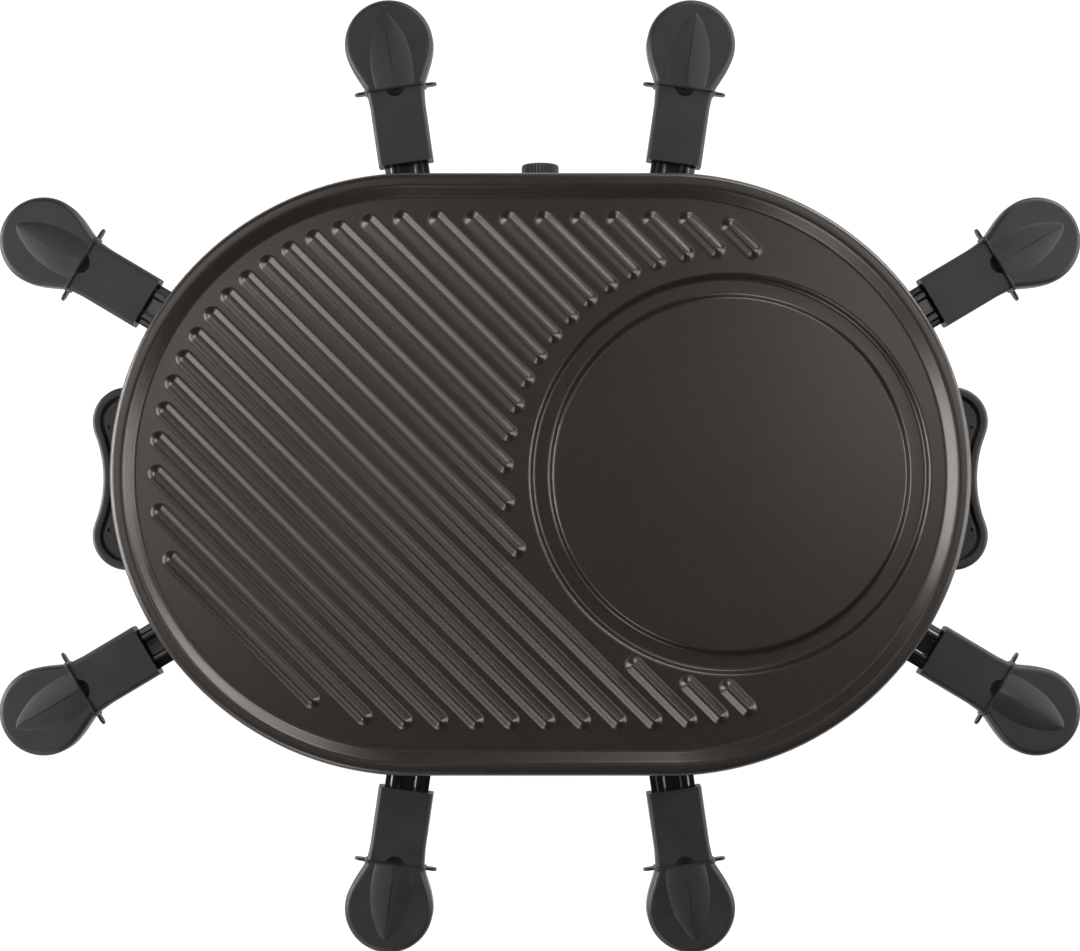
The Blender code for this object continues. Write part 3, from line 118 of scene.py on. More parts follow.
FLOOR_REACH = 20
floor_mesh = bpy.data.meshes.new("studio_floor")
floor_shape = bmesh.new()
bmesh.ops.create_grid(floor_shape, x_segments=1, y_segments=1, size=FLOOR_REACH)
floor_shape.to_mesh(floor_mesh)
floor_shape.free()
floor = bpy.data.objects.new("studio_floor", floor_mesh)
bpy.context.scene.collection.objects.link(floor)
floor_material = bpy.data.materials.new("white_sweep")
floor_material.use_nodes = True
floor_tree = floor_material.node_tree
floor_tree.nodes.clear()
bounce = add_node(floor_tree, "BsdfDiffuse", {0: colour("#e6e6e6")})
shaded = add_node(floor_tree, "BsdfDiffuse", {0: colour("#8c8c8c")})
glow = add_node(floor_tree, "Emission", {0: colour("#ffffff"), 1: 0.88})
white = add_node(floor_tree, "AddShader", None, {0: shaded, 1: glow})
floor_mixed = add_node(
    floor_tree, "MixShader", None, {0: seen_directly(floor_tree)[0], 1: bounce, 2: white})
add_node(floor_tree, "OutputMaterial", None, {0: floor_mixed})
floor_mesh.materials.append(floor_material)


def add_softbox(name, place, aim, width, height, watts):
    """Rectangular softbox at a place in metres, turned towards a point."""
    light = bpy.data.lights.new(name, "AREA")
    light.shape = "RECTANGLE"
    light.size, light.size_y = width, height
    light.energy = watts
    box = bpy.data.objects.new(name, light)
    box.location = place
    box.rotation_euler = (Vector(aim) - Vector(place)).to_track_quat("-Z", "Y").to_euler()
    box.visible_camera = False
    bpy.context.scene.collection.objects.link(box)


# Low strips near the table light the rim's slopes, the tall boxes the ribs and edges, and the
# two overhead panels the level faces. Left and right are the picture's, sizes are in metres.
for name, place, size, watts in (
        ("strip_left", (1.0, -0.06, 0.18), (0.75, 0.11), 7.5),
        ("strip_right", (-1.0, -0.10, 0.18), (0.75, 0.11), 3.4),
        ("strip_front", (-0.71, -0.71, 0.20), (0.50, 0.15), 4.4),
        ("softbox_left", (0.98, 0.02, 0.70), (0.75, 0.70), 9.4),
        ("softbox_right", (-1.0, 0.0, 0.85), (0.52, 0.85), 7.6),
        ("softbox_front", (-0.47, -0.88, 0.56), (0.50, 0.56), 1.5),
        ("softbox_side", (-0.33, -0.945, 0.56), (0.38, 0.56), 2.9),
        ("softbox_rear", (0.52, 0.85, 0.72), (0.64, 0.64), 1.9),
        ("softbox_back", (0.42, 0.91, 0.72), (0.30, 0.64), 2.2)):
    add_softbox(name, place, (0, 0, place[2]), *size, watts)
add_softbox("panel_left", (0.57, -0.30, 1.6), (0.57, -0.30, 0), 0.54, 0.85, 2.8)
add_softbox("panel_right", (-0.62, -0.42, 1.6), (-0.62, -0.42, 0), 0.54, 0.8, 3.1)


# Base tub: one moulding in black heat-resistant plastic, with a flat floor, a rounded lower
# edge and four posts. Four screws go up through the posts and hold the pan shelf.
OVAL_RADIUS, OVAL_HALF_STRAIGHT, OVAL_STEPS = 150.5, 64.5, 144
TO_METRES = 0.001
SMOOTH_ANGLE = math.radians(32)


def draw_line(points, closed=False):
    """New bmesh with one run of edges through points, brought back to its start if closed."""
    shape = bmesh.new()
    corners = [shape.verts.new(point) for point in points]
    for pair in zip(corners, corners[1:]):
        shape.edges.new(pair)
    if closed:
        shape.edges.new((corners[-1], corners[0]))
    return shape


def all_of(shape):
    """Everything in a bmesh."""
    return shape.verts[:] + shape.edges[:] + shape.faces[:]


def faced_out(shape):
    """The same bmesh with its faces outwards."""
    bmesh.ops.recalc_face_normals(shape, faces=shape.faces)
    return shape


def turned(profile, steps, parted=0.0, closed=False):
    """Solid turned about Z from (radius, height) pairs; parted along X it becomes an oval."""
    first = Matrix.Rotation(math.pi / steps, 3, "Z")
    shape = draw_line([first @ Vector((radius, 0, height)) for radius, height in profile], closed)
    bmesh.ops.spin(
        shape, geom=all_of(shape), cent=(0, 0, 0), axis=(0, 0, 1), angle=math.tau, steps=steps,
        use_merge=True)
    for corner in shape.verts:
        corner.co.x += math.copysign(parted, corner.co.x)
    bmesh.ops.holes_fill(shape, edges=shape.edges, sides=0)
    return faced_out(shape)


def oval(radius, section):
    """Oval solid from pairs of a distance in from its edge and a height."""
    profile = [(radius - inset, height) for inset, height in section]
    return turned(profile, OVAL_STEPS, OVAL_HALF_STRAIGHT)


def moved(shape, matrix):
    """The same bmesh after a move."""
    bmesh.ops.transform(shape, matrix=matrix, verts=shape.verts)
    return shape


def at(x, y, z):
    """Move to a point."""
    return Matrix.Translation((x, y, z))


def facing(direction, origin=(0, 0, 0)):
    """Matrix that lays a shape's +Z along a direction, at an origin."""
    turn = Vector((0, 0, 1)).rotation_difference(Vector(direction)).to_matrix().to_4x4()
    return Matrix.Translation(origin) @ turn


def rod(radius, low, high, steps, matrix):
    """Straight round solid along Z, moved to its place."""
    return moved(turned([(radius, low), (radius, high)], steps), matrix)


def gathered(shapes):
    """One bmesh that holds several separate solids."""
    whole = bmesh.new()
    for shape in shapes:
        mesh = bpy.data.meshes.new("gathering")
        shape.to_mesh(mesh)
        shape.free()
        whole.from_mesh(mesh)
        bpy.data.meshes.remove(mesh)
    return whole


def combined(shape, tool, operation):
    """Exact Boolean of two closed bmeshes, which are used up."""
    pair = []
    for part in (shape, tool):
        mesh = bpy.data.meshes.new("working")
        part.to_mesh(mesh)
        part.free()
        pair.append(bpy.data.objects.new("working", mesh))
        bpy.context.scene.collection.objects.link(pair[-1])
    modifier = pair[0].modifiers.new("combine", "BOOLEAN")
    modifier.operation = operation
    modifier.solver = "EXACT"
    modifier.object = pair[1]
    result = bmesh.new()
    result.from_object(pair[0], bpy.context.evaluated_depsgraph_get())
    for part in pair:
        mesh = part.data
        bpy.data.objects.remove(part)
        bpy.data.meshes.remove(mesh)
    return result


def rounded(shape, edges, radius, steps=3):
    """Round some edges of a bmesh."""
    bmesh.ops.bevel(
        shape, geom=edges, offset=radius, segments=steps, profile=0.5, affect="EDGES",
        material=-1, clamp_overlap=True)
    return shape


def box(low, high):
    """Box between two corners."""
    shape = bmesh.new()
    low, high = Vector(low), Vector(high)
    place = Matrix.Translation((low + high) / 2) @ Matrix.Diagonal((*(high - low), 1))
    bmesh.ops.create_cube(shape, size=1, matrix=place)
    return shape


def edges_along(shape, axis):
    """Edges that run along one axis, 0 to 2."""
    return [edge for edge in shape.edges
            if abs((edge.verts[1].co - edge.verts[0].co).normalized()[axis]) > 0.999]


def make_piece(name, shape, material):
    """Finished object from a bmesh in millimetres, smooth but for its creases."""
    bmesh.ops.remove_doubles(shape, verts=shape.verts, dist=0.0005)
    bmesh.ops.dissolve_degenerate(shape, dist=0.0001, edges=shape.edges)
    bmesh.ops.scale(faced_out(shape), vec=(TO_METRES,) * 3, verts=shape.verts)
    mesh = bpy.data.meshes.new(name)
    shape.to_mesh(mesh)
    shape.free()
    mesh.shade_smooth()
    mesh.set_sharp_from_angle(angle=SMOOTH_ANGLE)
    mesh.materials.append(material)
    piece = bpy.data.objects.new(name, mesh)
    bpy.context.scene.collection.objects.link(piece)
    weighted = piece.modifiers.new("weighted_normals", "WEIGHTED_NORMAL")
    weighted.keep_sharp = True
    return piece


def new_material(name, **values):
    """Material, its tree, its Principled shader with sockets set, and Object coordinates."""
    material = bpy.data.materials.new(name)
    material.use_nodes = True
    tree = material.node_tree
    shader = tree.nodes["Principled BSDF"]
    for socket, value in values.items():
        shader.inputs[socket.replace("_", " ")].default_value = value
    place = add_node(tree, "TexCoord").outputs["Object"]
    return material, tree, shader, place


def per_metre(millimetres):
    """Noise scale whose cells are about this many millimetres wide."""
    return 1000 / millimetres


# Spark-eroded moulded plastic: a dull black with a fine even grain and faint rub marks. In a
# Mix node sockets 6 and 7 are the two colours, in a Map Range node 3 and 4 the result's ends.
moulded_plastic, tree, shader, place = new_material("moulded_plastic", IOR=1.5)
grain = add_node(tree, "TexNoise", {"Scale": per_metre(0.7), "Detail": 3.0}, {"Vector": place})
rub = add_node(tree, "TexNoise", {"Scale": per_metre(35), "Detail": 4.0}, {"Vector": place})
tint = add_node(tree, "Mix", {6: colour("#1b1b1c"), 7: colour("#262627")}, {0: rub}, data_type="RGBA")
dull = add_node(tree, "MapRange", {3: 0.44, 4: 0.6}, {0: rub})
bump = add_node(tree, "Bump", {"Distance": 0.00004}, {"Height": grain})
feed(shader, {"Base Color": tint.outputs[2], "Roughness": dull, "Normal": bump})

TUB_RADIUS = OVAL_RADIUS - 7.9
TUB_BOTTOM, TUB_FLOOR, TUB_TOP = 7.3, 9.8, 44.1
POST_RADIUS, SCREW_HOLE_RADIUS = 5.5, 3.6
POST_PLACES = [(x, y) for x in (-112, 112) for y in (-52, 52)]
FOOT_PLACES = [(x, y) for x in (-150, 150) for y in (-78, 78)]
BUSHING_LEVEL = 25.15
tub = oval(TUB_RADIUS, [
    (5.2, TUB_BOTTOM), (3.9, TUB_BOTTOM + 0.2), (2.2, TUB_BOTTOM + 1.0), (0.9, TUB_BOTTOM + 2.3),
    (0.2, TUB_BOTTOM + 4.0), (0, TUB_BOTTOM + 5.6), (0, TUB_TOP - 0.5), (0.5, TUB_TOP),
    (2.0, TUB_TOP), (2.5, TUB_TOP - 0.5), (2.5, TUB_FLOOR + 4.0), (3.6, TUB_FLOOR + 1.2),
    (6.5, TUB_FLOOR)])
posts = gathered([
    rod(POST_RADIUS, TUB_FLOOR - 1, TUB_TOP, 24, at(x, y, 0)) for x, y in POST_PLACES])
tub = combined(tub, posts, "UNION")
to_bushing = facing((0, 1, 0), (0, 0, BUSHING_LEVEL))
tub_cuts = [rod(SCREW_HOLE_RADIUS, TUB_BOTTOM - 1, TUB_FLOOR, 20, at(x, y, 0))
            for x, y in POST_PLACES]
tub_cuts.append(rod(5.8, 135, 146, 32, to_bushing))
# Two rows of air slots in the floor, near the front and the rear
SLOT_PITCH, SLOT_ROW, SLOT_HALF_WIDTH, SLOT_HALF_LENGTH = 11, 95, 1.6, 11
for row in (-SLOT_ROW, SLOT_ROW):
    for slot_number in range(7):
        x = (slot_number - 3) * SLOT_PITCH
        slot = box((x - SLOT_HALF_WIDTH, row - SLOT_HALF_LENGTH, TUB_BOTTOM - 1),
                   (x + SLOT_HALF_WIDTH, row + SLOT_HALF_LENGTH, TUB_FLOOR + 1))
        tub_cuts.append(rounded(slot, edges_along(slot, 2), 1.55, 4))
tub = combined(tub, gathered(tub_cuts), "DIFFERENCE")
base_tub = make_piece("base_tub", tub, moulded_plastic)
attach(base_tub, "base")
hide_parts("base_housing")


# Rubber feet: four soft round pads with a shallow ring in the sole. Their plugs are pressed
# through holes in the tub's floor.
soft_rubber, tree, shader, place = new_material("soft_rubber", IOR=1.52)
grain = add_node(tree, "TexNoise", {"Scale": per_metre(0.9), "Detail": 4.0}, {"Vector": place})
tint = add_node(tree, "Mix", {6: colour("#161616"), 7: colour("#242322")}, {0: grain}, data_type="RGBA")
dull = add_node(tree, "MapRange", {3: 0.7, 4: 0.9}, {0: grain})
bump = add_node(tree, "Bump", {"Distance": 0.00005}, {"Height": grain})
feed(shader, {"Base Color": tint.outputs[2], "Roughness": dull, "Normal": bump})

for number, (x, y) in enumerate(FOOT_PLACES, start=1):
    foot = turned([
        (3.5, 0.9), (5.2, 0.9), (5.6, 0), (8.6, 0), (9.4, 0.4), (9.8, 1.4), (10, 3), (10, 6.4),
        (9.4, 7), (3, 7), (3, 11), (2.4, 11.4)], 40)
    foot_pad = make_piece(f"foot_pad_{number}", moved(foot, at(x, y, 0)), soft_rubber)
    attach(foot_pad, "base")
    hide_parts(f"rubber_foot_{number}")


# Pan shelf: a pressed steel deck with a rolled shoulder and a turned-down skirt over the tub.
# It is coated dark grey against heat and grease, and the pans slide in and out on it.
stove_coating, tree, shader, place = new_material("stove_coating", IOR=1.45, Metallic=0.15)
fleck = add_node(tree, "TexNoise", {"Scale": per_metre(1.1), "Detail": 5.0}, {"Vector": place})
cloud = add_node(tree, "TexNoise", {"Scale": per_metre(28), "Detail": 3.0}, {"Vector": place})
tint = add_node(tree, "ValToRGB", None, {0: fleck})
for stop, spot, shade in zip(tint.color_ramp.elements, (0.38, 0.68), ("#232221", "#33312f")):
    stop.position = spot
    stop.color = colour(shade)
dull = add_node(tree, "MapRange", {3: 0.34, 4: 0.5}, {0: cloud})
bump = add_node(tree, "Bump", {"Distance": 0.00002}, {"Height": fleck})
feed(shader, {"Base Color": tint, "Roughness": dull, "Normal": bump})

DECK_RADIUS = OVAL_RADIUS - 6
DECK_TOP, DECK_UNDER, SKIRT_BOTTOM = 46.0, 44.4, 39.0
LEAD_HOLE_Y, LEAD_HOLE_RADIUS = -133.75, 6
shelf = oval(DECK_RADIUS, [
    (3.2, DECK_UNDER), (2.0, DECK_UNDER - 0.5), (1.6, DECK_UNDER - 1.8),
    (1.6, SKIRT_BOTTOM + 0.4), (1.2, SKIRT_BOTTOM), (0.4, SKIRT_BOTTOM),
    (0, SKIRT_BOTTOM + 0.4), (0, DECK_TOP - 2.6), (0.35, DECK_TOP - 1.3),
    (1.2, DECK_TOP - 0.4), (2.6, DECK_TOP)])
lead_hole = rod(LEAD_HOLE_RADIUS, 38, 48, 24, at(0, LEAD_HOLE_Y, 0))
shelf = combined(shelf, lead_hole, "DIFFERENCE")
shelf_deck = make_piece("shelf_deck", shelf, stove_coating)
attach(shelf_deck, "base")
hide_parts("pan_shelf")


# Screws: zinc-plated pan-head screws, four up through the tub's posts and one up into the
# foot of each upright. Only their heads show, in the floor of the tub.
zinc_plate, tree, shader, place = new_material("zinc_plated_steel", Metallic=1.0)
spangle = add_node(tree, "TexVoronoi", {"Scale": per_metre(2.5)}, {"Vector": place})
smear = add_node(tree, "TexNoise", {"Scale": per_metre(6), "Detail": 4.0}, {"Vector": place})
tint = add_node(
    tree, "Mix", {6: colour("#a3a4a2"), 7: colour("#c2c2bd")}, {0: spangle.outputs["Distance"]},
    data_type="RGBA")
dull = add_node(tree, "MapRange", {3: 0.3, 4: 0.48}, {0: smear})
feed(shader, {"Base Color": tint.outputs[2], "Roughness": dull})


def dress(node_names, material):
    """Give CAD nodes whose shape is right their finish."""
    for node_name in node_names:
        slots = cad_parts[node_name].data.materials
        slots.clear()
        slots.append(material)


dress([f"shelf_screw_{number}" for number in (1, 2, 3, 4)], zinc_plate)
dress(["end_stand_screw_left", "end_stand_screw_right", "rear_stand_screw",
       "control_housing_screw"], zinc_plate)


# Uprights: three hollow mouldings in black phenolic that stand on the shelf and carry the
# grill plate. Each is open below, and one screw pulls its solid middle down on the shelf.
phenolic, tree, shader, place = new_material("phenolic_moulding", IOR=1.5)
grain = add_node(tree, "TexNoise", {"Scale": per_metre(0.8), "Detail": 4.0}, {"Vector": place})
cloud = add_node(tree, "TexNoise", {"Scale": per_metre(14), "Detail": 3.0}, {"Vector": place})
mixed_noise = add_node(tree, "Math", {1: 0.35}, {0: grain, 2: cloud}, operation="MULTIPLY_ADD")
tint = add_node(tree, "ValToRGB", None, {0: mixed_noise})
for stop, spot, shade in zip(tint.color_ramp.elements, (0.45, 0.9), ("#1b1818", "#231f20")):
    stop.position = spot
    stop.color = colour(shade)
dull = add_node(tree, "MapRange", {3: 0.40, 4: 0.52}, {0: cloud})
bump = add_node(tree, "Bump", {"Distance": 0.000025}, {"Height": grain})
feed(shader, {"Base Color": tint, "Roughness": dull, "Normal": bump})

UPRIGHT_FOOT, UPRIGHT_TOP = 46.3, 98.7
UPRIGHT_WALL, PANEL_TOP = 3.0, 70


def hollow_upright(near, far, half_width):
    """Upright between near and far along X, its length along Y, with a sunk panel outside."""
    shape = box((near, -half_width, UPRIGHT_FOOT), (far, half_width, UPRIGHT_TOP))
    rounded(shape, edges_along(shape, 2), 2.5, 5)
    top = [edge for edge in shape.edges
           if all(corner.co.z > UPRIGHT_TOP - 0.01 for corner in edge.verts)]
    rounded(shape, top, 1.0)
    for side in (-1, 1):
        start, end = sorted((side * 5.5, side * (half_width - UPRIGHT_WALL)))
        pocket = box((near + UPRIGHT_WALL, start, UPRIGHT_FOOT - 1),
                     (far - UPRIGHT_WALL, end, UPRIGHT_TOP - UPRIGHT_WALL))
        shape = combined(shape, rounded(pocket, edges_along(pocket, 2), 1.5), "DIFFERENCE")
    panel = box((far - 0.8, -half_width + 6, UPRIGHT_FOOT + 6),
                (far + 1, half_width - 6, PANEL_TOP))
    shape = combined(shape, rounded(panel, edges_along(panel, 0), 3, 5), "DIFFERENCE")
    return shape


for side_name, turn in (("left", math.pi), ("right", 0)):
    stand = moved(hollow_upright(near=183, far=205, half_width=35.8),
                  Matrix.Rotation(turn, 4, "Z"))
    end_upright = make_piece("end_upright_" + side_name, stand, phenolic)
    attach(end_upright, "base")
    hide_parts("end_stand_" + side_name)
stand = moved(hollow_upright(near=118.5, far=140.5, half_width=26.95),
              Matrix.Rotation(math.pi / 2, 4, "Z"))
rear_upright = make_piece("rear_upright", stand, phenolic)
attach(rear_upright, "base")
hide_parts("rear_stand")


# Side grips: one two-lobed phenolic moulding at each end, with a raised rounded rim, a groove
# inside it and a sunk panel with a small mark in each lobe. Two pegs hold it in its stand.
GRIP_LOW, GRIP_TOP = 74.0, 90.0
GRIP_BACK, GRIP_SET_BACK = 205.3, 1.7
LOBE_CENTRE, LOBE_RADIUS = (210.0, 29.0), 17.5
WAIST_REACH, WAIST_RADIUS = 222.0, 61.7
WAIST_SWEEP = math.radians(21.5)


def spun_end(shape, start, centre, angle, steps):
    """Carry a line on from its last corner with an arc; returns the new last corner."""
    return bmesh.ops.spin(
        shape, geom=[start], cent=centre, axis=(0, 0, 1), angle=angle, steps=steps,
        use_merge=False)["geom_last"][0]


def drawn_on(shape, start, point):
    """Carry a line on with a straight run; returns the new last corner."""
    made = bmesh.ops.extrude_vert_indiv(shape, verts=[start])["verts"][0]
    made.co = point
    return made


def mirrored_face(shape):
    """Mirror half an outline across X and fill it."""
    bmesh.ops.mirror(shape, geom=all_of(shape), axis="Y", merge_dist=0.001)
    return bmesh.ops.contextual_create(shape, geom=shape.edges[:])["faces"][0]


def corners_in(made):
    """Corners among what an operator made."""
    return [item for item in made if isinstance(item, bmesh.types.BMVert)]


def raise_face(shape, face, rise):
    """Extrude a face by a vector."""
    made = bmesh.ops.extrude_face_region(shape, geom=[face])["geom"]
    bmesh.ops.translate(shape, verts=corners_in(made), vec=rise)
    faced_out(shape)


def edges_across(shape, axis):
    """Edges square to one axis, 0 to 2."""
    return [edge for edge in shape.edges
            if abs(edge.verts[0].co[axis] - edge.verts[1].co[axis]) < 0.01]


def grip_shape():
    """Grip at the +X end, about its own middle."""
    shape = bmesh.new()
    corner = shape.verts.new((WAIST_REACH, 0, GRIP_LOW))
    corner = spun_end(shape, corner, (WAIST_REACH + WAIST_RADIUS, 0, 0), -WAIST_SWEEP, 6)
    corner = spun_end(
        shape, corner, (*LOBE_CENTRE, 0), math.radians(90) + WAIST_SWEEP, 16)
    drawn_on(shape, corner, (GRIP_BACK, LOBE_CENTRE[1] + LOBE_RADIUS + 1, GRIP_LOW))
    raise_face(shape, mirrored_face(shape), (0, 0, GRIP_TOP - GRIP_LOW))
    rim = [edge for edge in edges_across(shape, 2)
           if not all(corner.co.x < GRIP_BACK + 0.1 for corner in edge.verts)]
    rounded(shape, rim, 1.8, 4)
    lid = max(shape.faces, key=lambda face: face.normal.z * face.calc_area())
    # From the rim inwards: (width, fall)
    for width, fall in ((2.0, 0.0), (0.5, -0.3), (0.3, -2.0), (0.7, -0.2), (0.5, 0.7), (0.6, 0.2)):
        bmesh.ops.inset_region(
            shape, faces=[lid], thickness=width, depth=fall, use_even_offset=True)
    marks = gathered([
        rod(0.9, GRIP_TOP - 3.2, GRIP_TOP + 1, 16, at(219, side * 26, 0)) for side in (-1, 1)])
    return combined(shape, marks, "DIFFERENCE")


for side_name, turn in (("left", math.pi), ("right", 0)):
    grip = moved(grip_shape(), at(0, GRIP_SET_BACK, 0) @ Matrix.Rotation(turn, 4, "Z"))
    end_grip = make_piece("end_grip_" + side_name, grip, phenolic)
    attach(end_grip, "base")
    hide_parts("side_grip_" + side_name)


# Heating element: one sheathed tube bent to an open oval loop close under the plate. Its ends
# drop through ceramic sleeves in the rear cover of the control housing.
annealed_sheath, tree, shader, place = new_material("annealed_steel_sheath", Metallic=1.0)
heat = add_node(tree, "TexNoise", {"Scale": per_metre(22), "Detail": 4.0}, {"Vector": place})
scale = add_node(tree, "TexNoise", {"Scale": per_metre(0.8), "Detail": 3.0}, {"Vector": place})
tint = add_node(tree, "Mix", {6: colour("#5b5049"), 7: colour("#857a70")}, {0: heat}, data_type="RGBA")
dull = add_node(tree, "MapRange", {3: 0.38, 4: 0.6}, {0: heat})
bump = add_node(tree, "Bump", {"Distance": 0.00002}, {"Height": scale})
feed(shader, {"Base Color": tint.outputs[2], "Roughness": dull, "Normal": bump})

ELEMENT_LEVEL, ELEMENT_RADIUS = 95.45, 3.25
ELEMENT_HALF_WIDTH, ELEMENT_HALF_STRAIGHT = 90.0, 60.0
ELEMENT_END_X, ELEMENT_END_Y = 14.0, -126.5
shape = bmesh.new()
tube_end = bmesh.ops.create_circle(
    shape, cap_ends=False, segments=20, radius=ELEMENT_RADIUS,
    matrix=at(0, ELEMENT_HALF_WIDTH, ELEMENT_LEVEL) @ Matrix.Rotation(math.pi / 2, 4, "Y"))["verts"]


def ring_edges(corners):
    """Edges between corners of one ring."""
    chosen = set(corners)
    return list({edge for corner in corners for edge in corner.link_edges
                 if edge.verts[0] in chosen and edge.verts[1] in chosen})


def doubled(shape, corners):
    """Extrude a ring where it stands; returns the new ring's corners."""
    return corners_in(bmesh.ops.extrude_edge_only(shape, edges=ring_edges(corners))["geom"])


def run_tube(shape, corners, move):
    """Carry a tube's open end on in a straight run."""
    corners = doubled(shape, corners)
    bmesh.ops.translate(shape, verts=corners, vec=move)
    return corners


def bend_tube(shape, corners, centre, axis, angle, steps):
    """Carry a tube's open end on round a bend."""
    made = bmesh.ops.spin(
        shape, geom=ring_edges(corners) + corners, cent=centre, axis=axis, angle=angle,
        steps=steps, use_merge=False)["geom_last"]
    return corners_in(made)


ELEMENT_CORNER, ELEMENT_DROP_BEND = 13.0, 5.5
tube_end = run_tube(shape, tube_end, (ELEMENT_HALF_STRAIGHT, 0, 0))
tube_end = bend_tube(
    shape, tube_end, (ELEMENT_HALF_STRAIGHT, 0, ELEMENT_LEVEL), (0, 0, 1), -math.pi, 36)
corner_x = ELEMENT_END_X + ELEMENT_CORNER
tube_end = run_tube(shape, tube_end, (corner_x - ELEMENT_HALF_STRAIGHT, 0, 0))
drop_y = -ELEMENT_HALF_WIDTH - ELEMENT_CORNER
tube_end = bend_tube(
    shape, tube_end, (corner_x, drop_y, ELEMENT_LEVEL), (0, 0, 1), math.pi / 2, 8)
tube_end = bend_tube(
    shape, tube_end, (0, drop_y, ELEMENT_LEVEL - ELEMENT_DROP_BEND), (1, 0, 0), math.pi / 2, 6)
tube_end = bend_tube(
    shape, tube_end, (0, drop_y - 2 * ELEMENT_DROP_BEND, ELEMENT_LEVEL - ELEMENT_DROP_BEND),
    (1, 0, 0), -math.pi / 2, 6)
run_tube(shape, tube_end, (0, ELEMENT_END_Y - drop_y + 2 * ELEMENT_DROP_BEND, 0))
bmesh.ops.mirror(shape, geom=all_of(shape), axis="X", merge_dist=0.001)
bmesh.ops.holes_fill(shape, edges=shape.edges, sides=0)
element_loop = make_piece("element_loop", shape, annealed_sheath)
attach(element_loop, "base")
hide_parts("heating_element")

# Fired ceramic of the sleeves and the terminal block: warm white, matt, with fine pores
fired_ceramic, tree, shader, place = new_material("fired_ceramic", IOR=1.55)
pores = add_node(tree, "TexNoise", {"Scale": per_metre(1.2), "Detail": 5.0}, {"Vector": place})
tint = add_node(tree, "Mix", {6: colour("#cfc8b8"), 7: colour("#e6e1d6")}, {0: pores}, data_type="RGBA")
dull = add_node(tree, "MapRange", {3: 0.45, 4: 0.65}, {0: pores})
feed(shader, {"Base Color": tint.outputs[2], "Roughness": dull})
dress(["element_sleeve_left", "element_sleeve_right", "terminal_block"], fired_ceramic)
dress(["element_bracket_left", "element_bracket_right", "element_bracket_rear"], zinc_plate)


# Control housing: a phenolic box on the shelf, under the front edge of the plate. It holds
# the thermostat and the pilot lamp, and a steel rear cover keeps the heat out.
HOUSING_HALF_WIDTH = 26.95
HOUSING_FRONT, HOUSING_BACK = -149.0, -118.5
KNOB_LEVEL, LAMP_LEVEL = 80.0, 60.15
to_knob = facing((0, -1, 0), (0, 0, KNOB_LEVEL))
to_lamp = facing((0, -1, 0), (0, 0, LAMP_LEVEL))
housing = box((-HOUSING_HALF_WIDTH, HOUSING_FRONT, UPRIGHT_FOOT),
              (HOUSING_HALF_WIDTH, HOUSING_BACK, UPRIGHT_TOP))
front_corners = [edge for edge in edges_along(housing, 2) if edge.verts[0].co.y < -140]
rounded(housing, front_corners, 4, 6)
front_rim = [edge for edge in housing.edges
             if all(corner.co.z > UPRIGHT_TOP - 0.01 for corner in edge.verts)
             and not all(corner.co.y > HOUSING_BACK - 0.01 for corner in edge.verts)]
rounded(housing, front_rim, 1.2)
hollow = box((-23.95, HOUSING_FRONT + 3, 52.3), (23.95, HOUSING_BACK + 1, 95.7))
rounded(hollow, edges_along(hollow, 1), 1.5)
housing = combined(housing, hollow, "DIFFERENCE")
# The knob's and the lens's holes, a groove round the knob, and the hole for the leads
holes = gathered([
    rod(5.3, 145, 150, 32, to_knob),
    rod(3.3, 145, 150, 24, to_lamp),
    moved(turned([(12.2, 148.4), (12.2, 150), (11.6, 150), (11.6, 148.4)], 48, 0, True), to_knob),
    rod(LEAD_HOLE_RADIUS, 45, 54, 24, at(0, LEAD_HOLE_Y, 0))])
housing = combined(housing, holes, "DIFFERENCE")
control_box = make_piece("control_box", housing, phenolic)
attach(control_box, "base")
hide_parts("control_housing")
dress(["control_rear_cover", "thermostat_shaft"], zinc_plate)
dress(["thermostat_body"], moulded_plastic)


# Control knob: a short moulded knob, ribbed all round for grip, with a rounded front edge and
# a pale pointer line on its face. It is pressed on the thermostat's shaft.
KNOB_RIBS, KNOB_RADIUS, KNOB_BACK = 36, 9.5, 149.3
shape = bmesh.new()
rim = bmesh.ops.create_circle(
    shape, cap_ends=False, segments=4 * KNOB_RIBS, radius=KNOB_RADIUS)["verts"]
for number, corner in enumerate(rim):
    corner.co *= (1.0, 0.985, 0.94, 0.985)[number % 4]


def grown_ring(shape, corners, widen, rise):
    """Carry a ring on by a rise, widened or narrowed about its middle."""
    corners = doubled(shape, corners)
    bmesh.ops.scale(shape, vec=(widen, widen, 1), verts=corners)
    bmesh.ops.translate(shape, verts=corners, vec=(0, 0, rise))
    return corners


front = rim
for widen, rise in ((1.0, 8.1), (0.985, 0.75), (0.955, 0.55), (0.93, 0.25), (0.86, 0.05),
                    (0.97, -0.35), (0.8, -0.05)):
    front = grown_ring(shape, front, widen, rise)
back = rim
for widen, rise in ((0.97, 0.0), (0.72, 0.0), (1.0, 1.6), (0.52, 0.0), (1.0, 5.2)):
    back = grown_ring(shape, back, widen, rise)
bmesh.ops.holes_fill(shape, edges=shape.edges, sides=0)
knob_matrix = facing((0, -1, 0), (0, -KNOB_BACK, KNOB_LEVEL))
ribbed_knob = make_piece("ribbed_knob", moved(shape, knob_matrix), moulded_plastic)
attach(ribbed_knob, "knob")
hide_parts("control_knob")

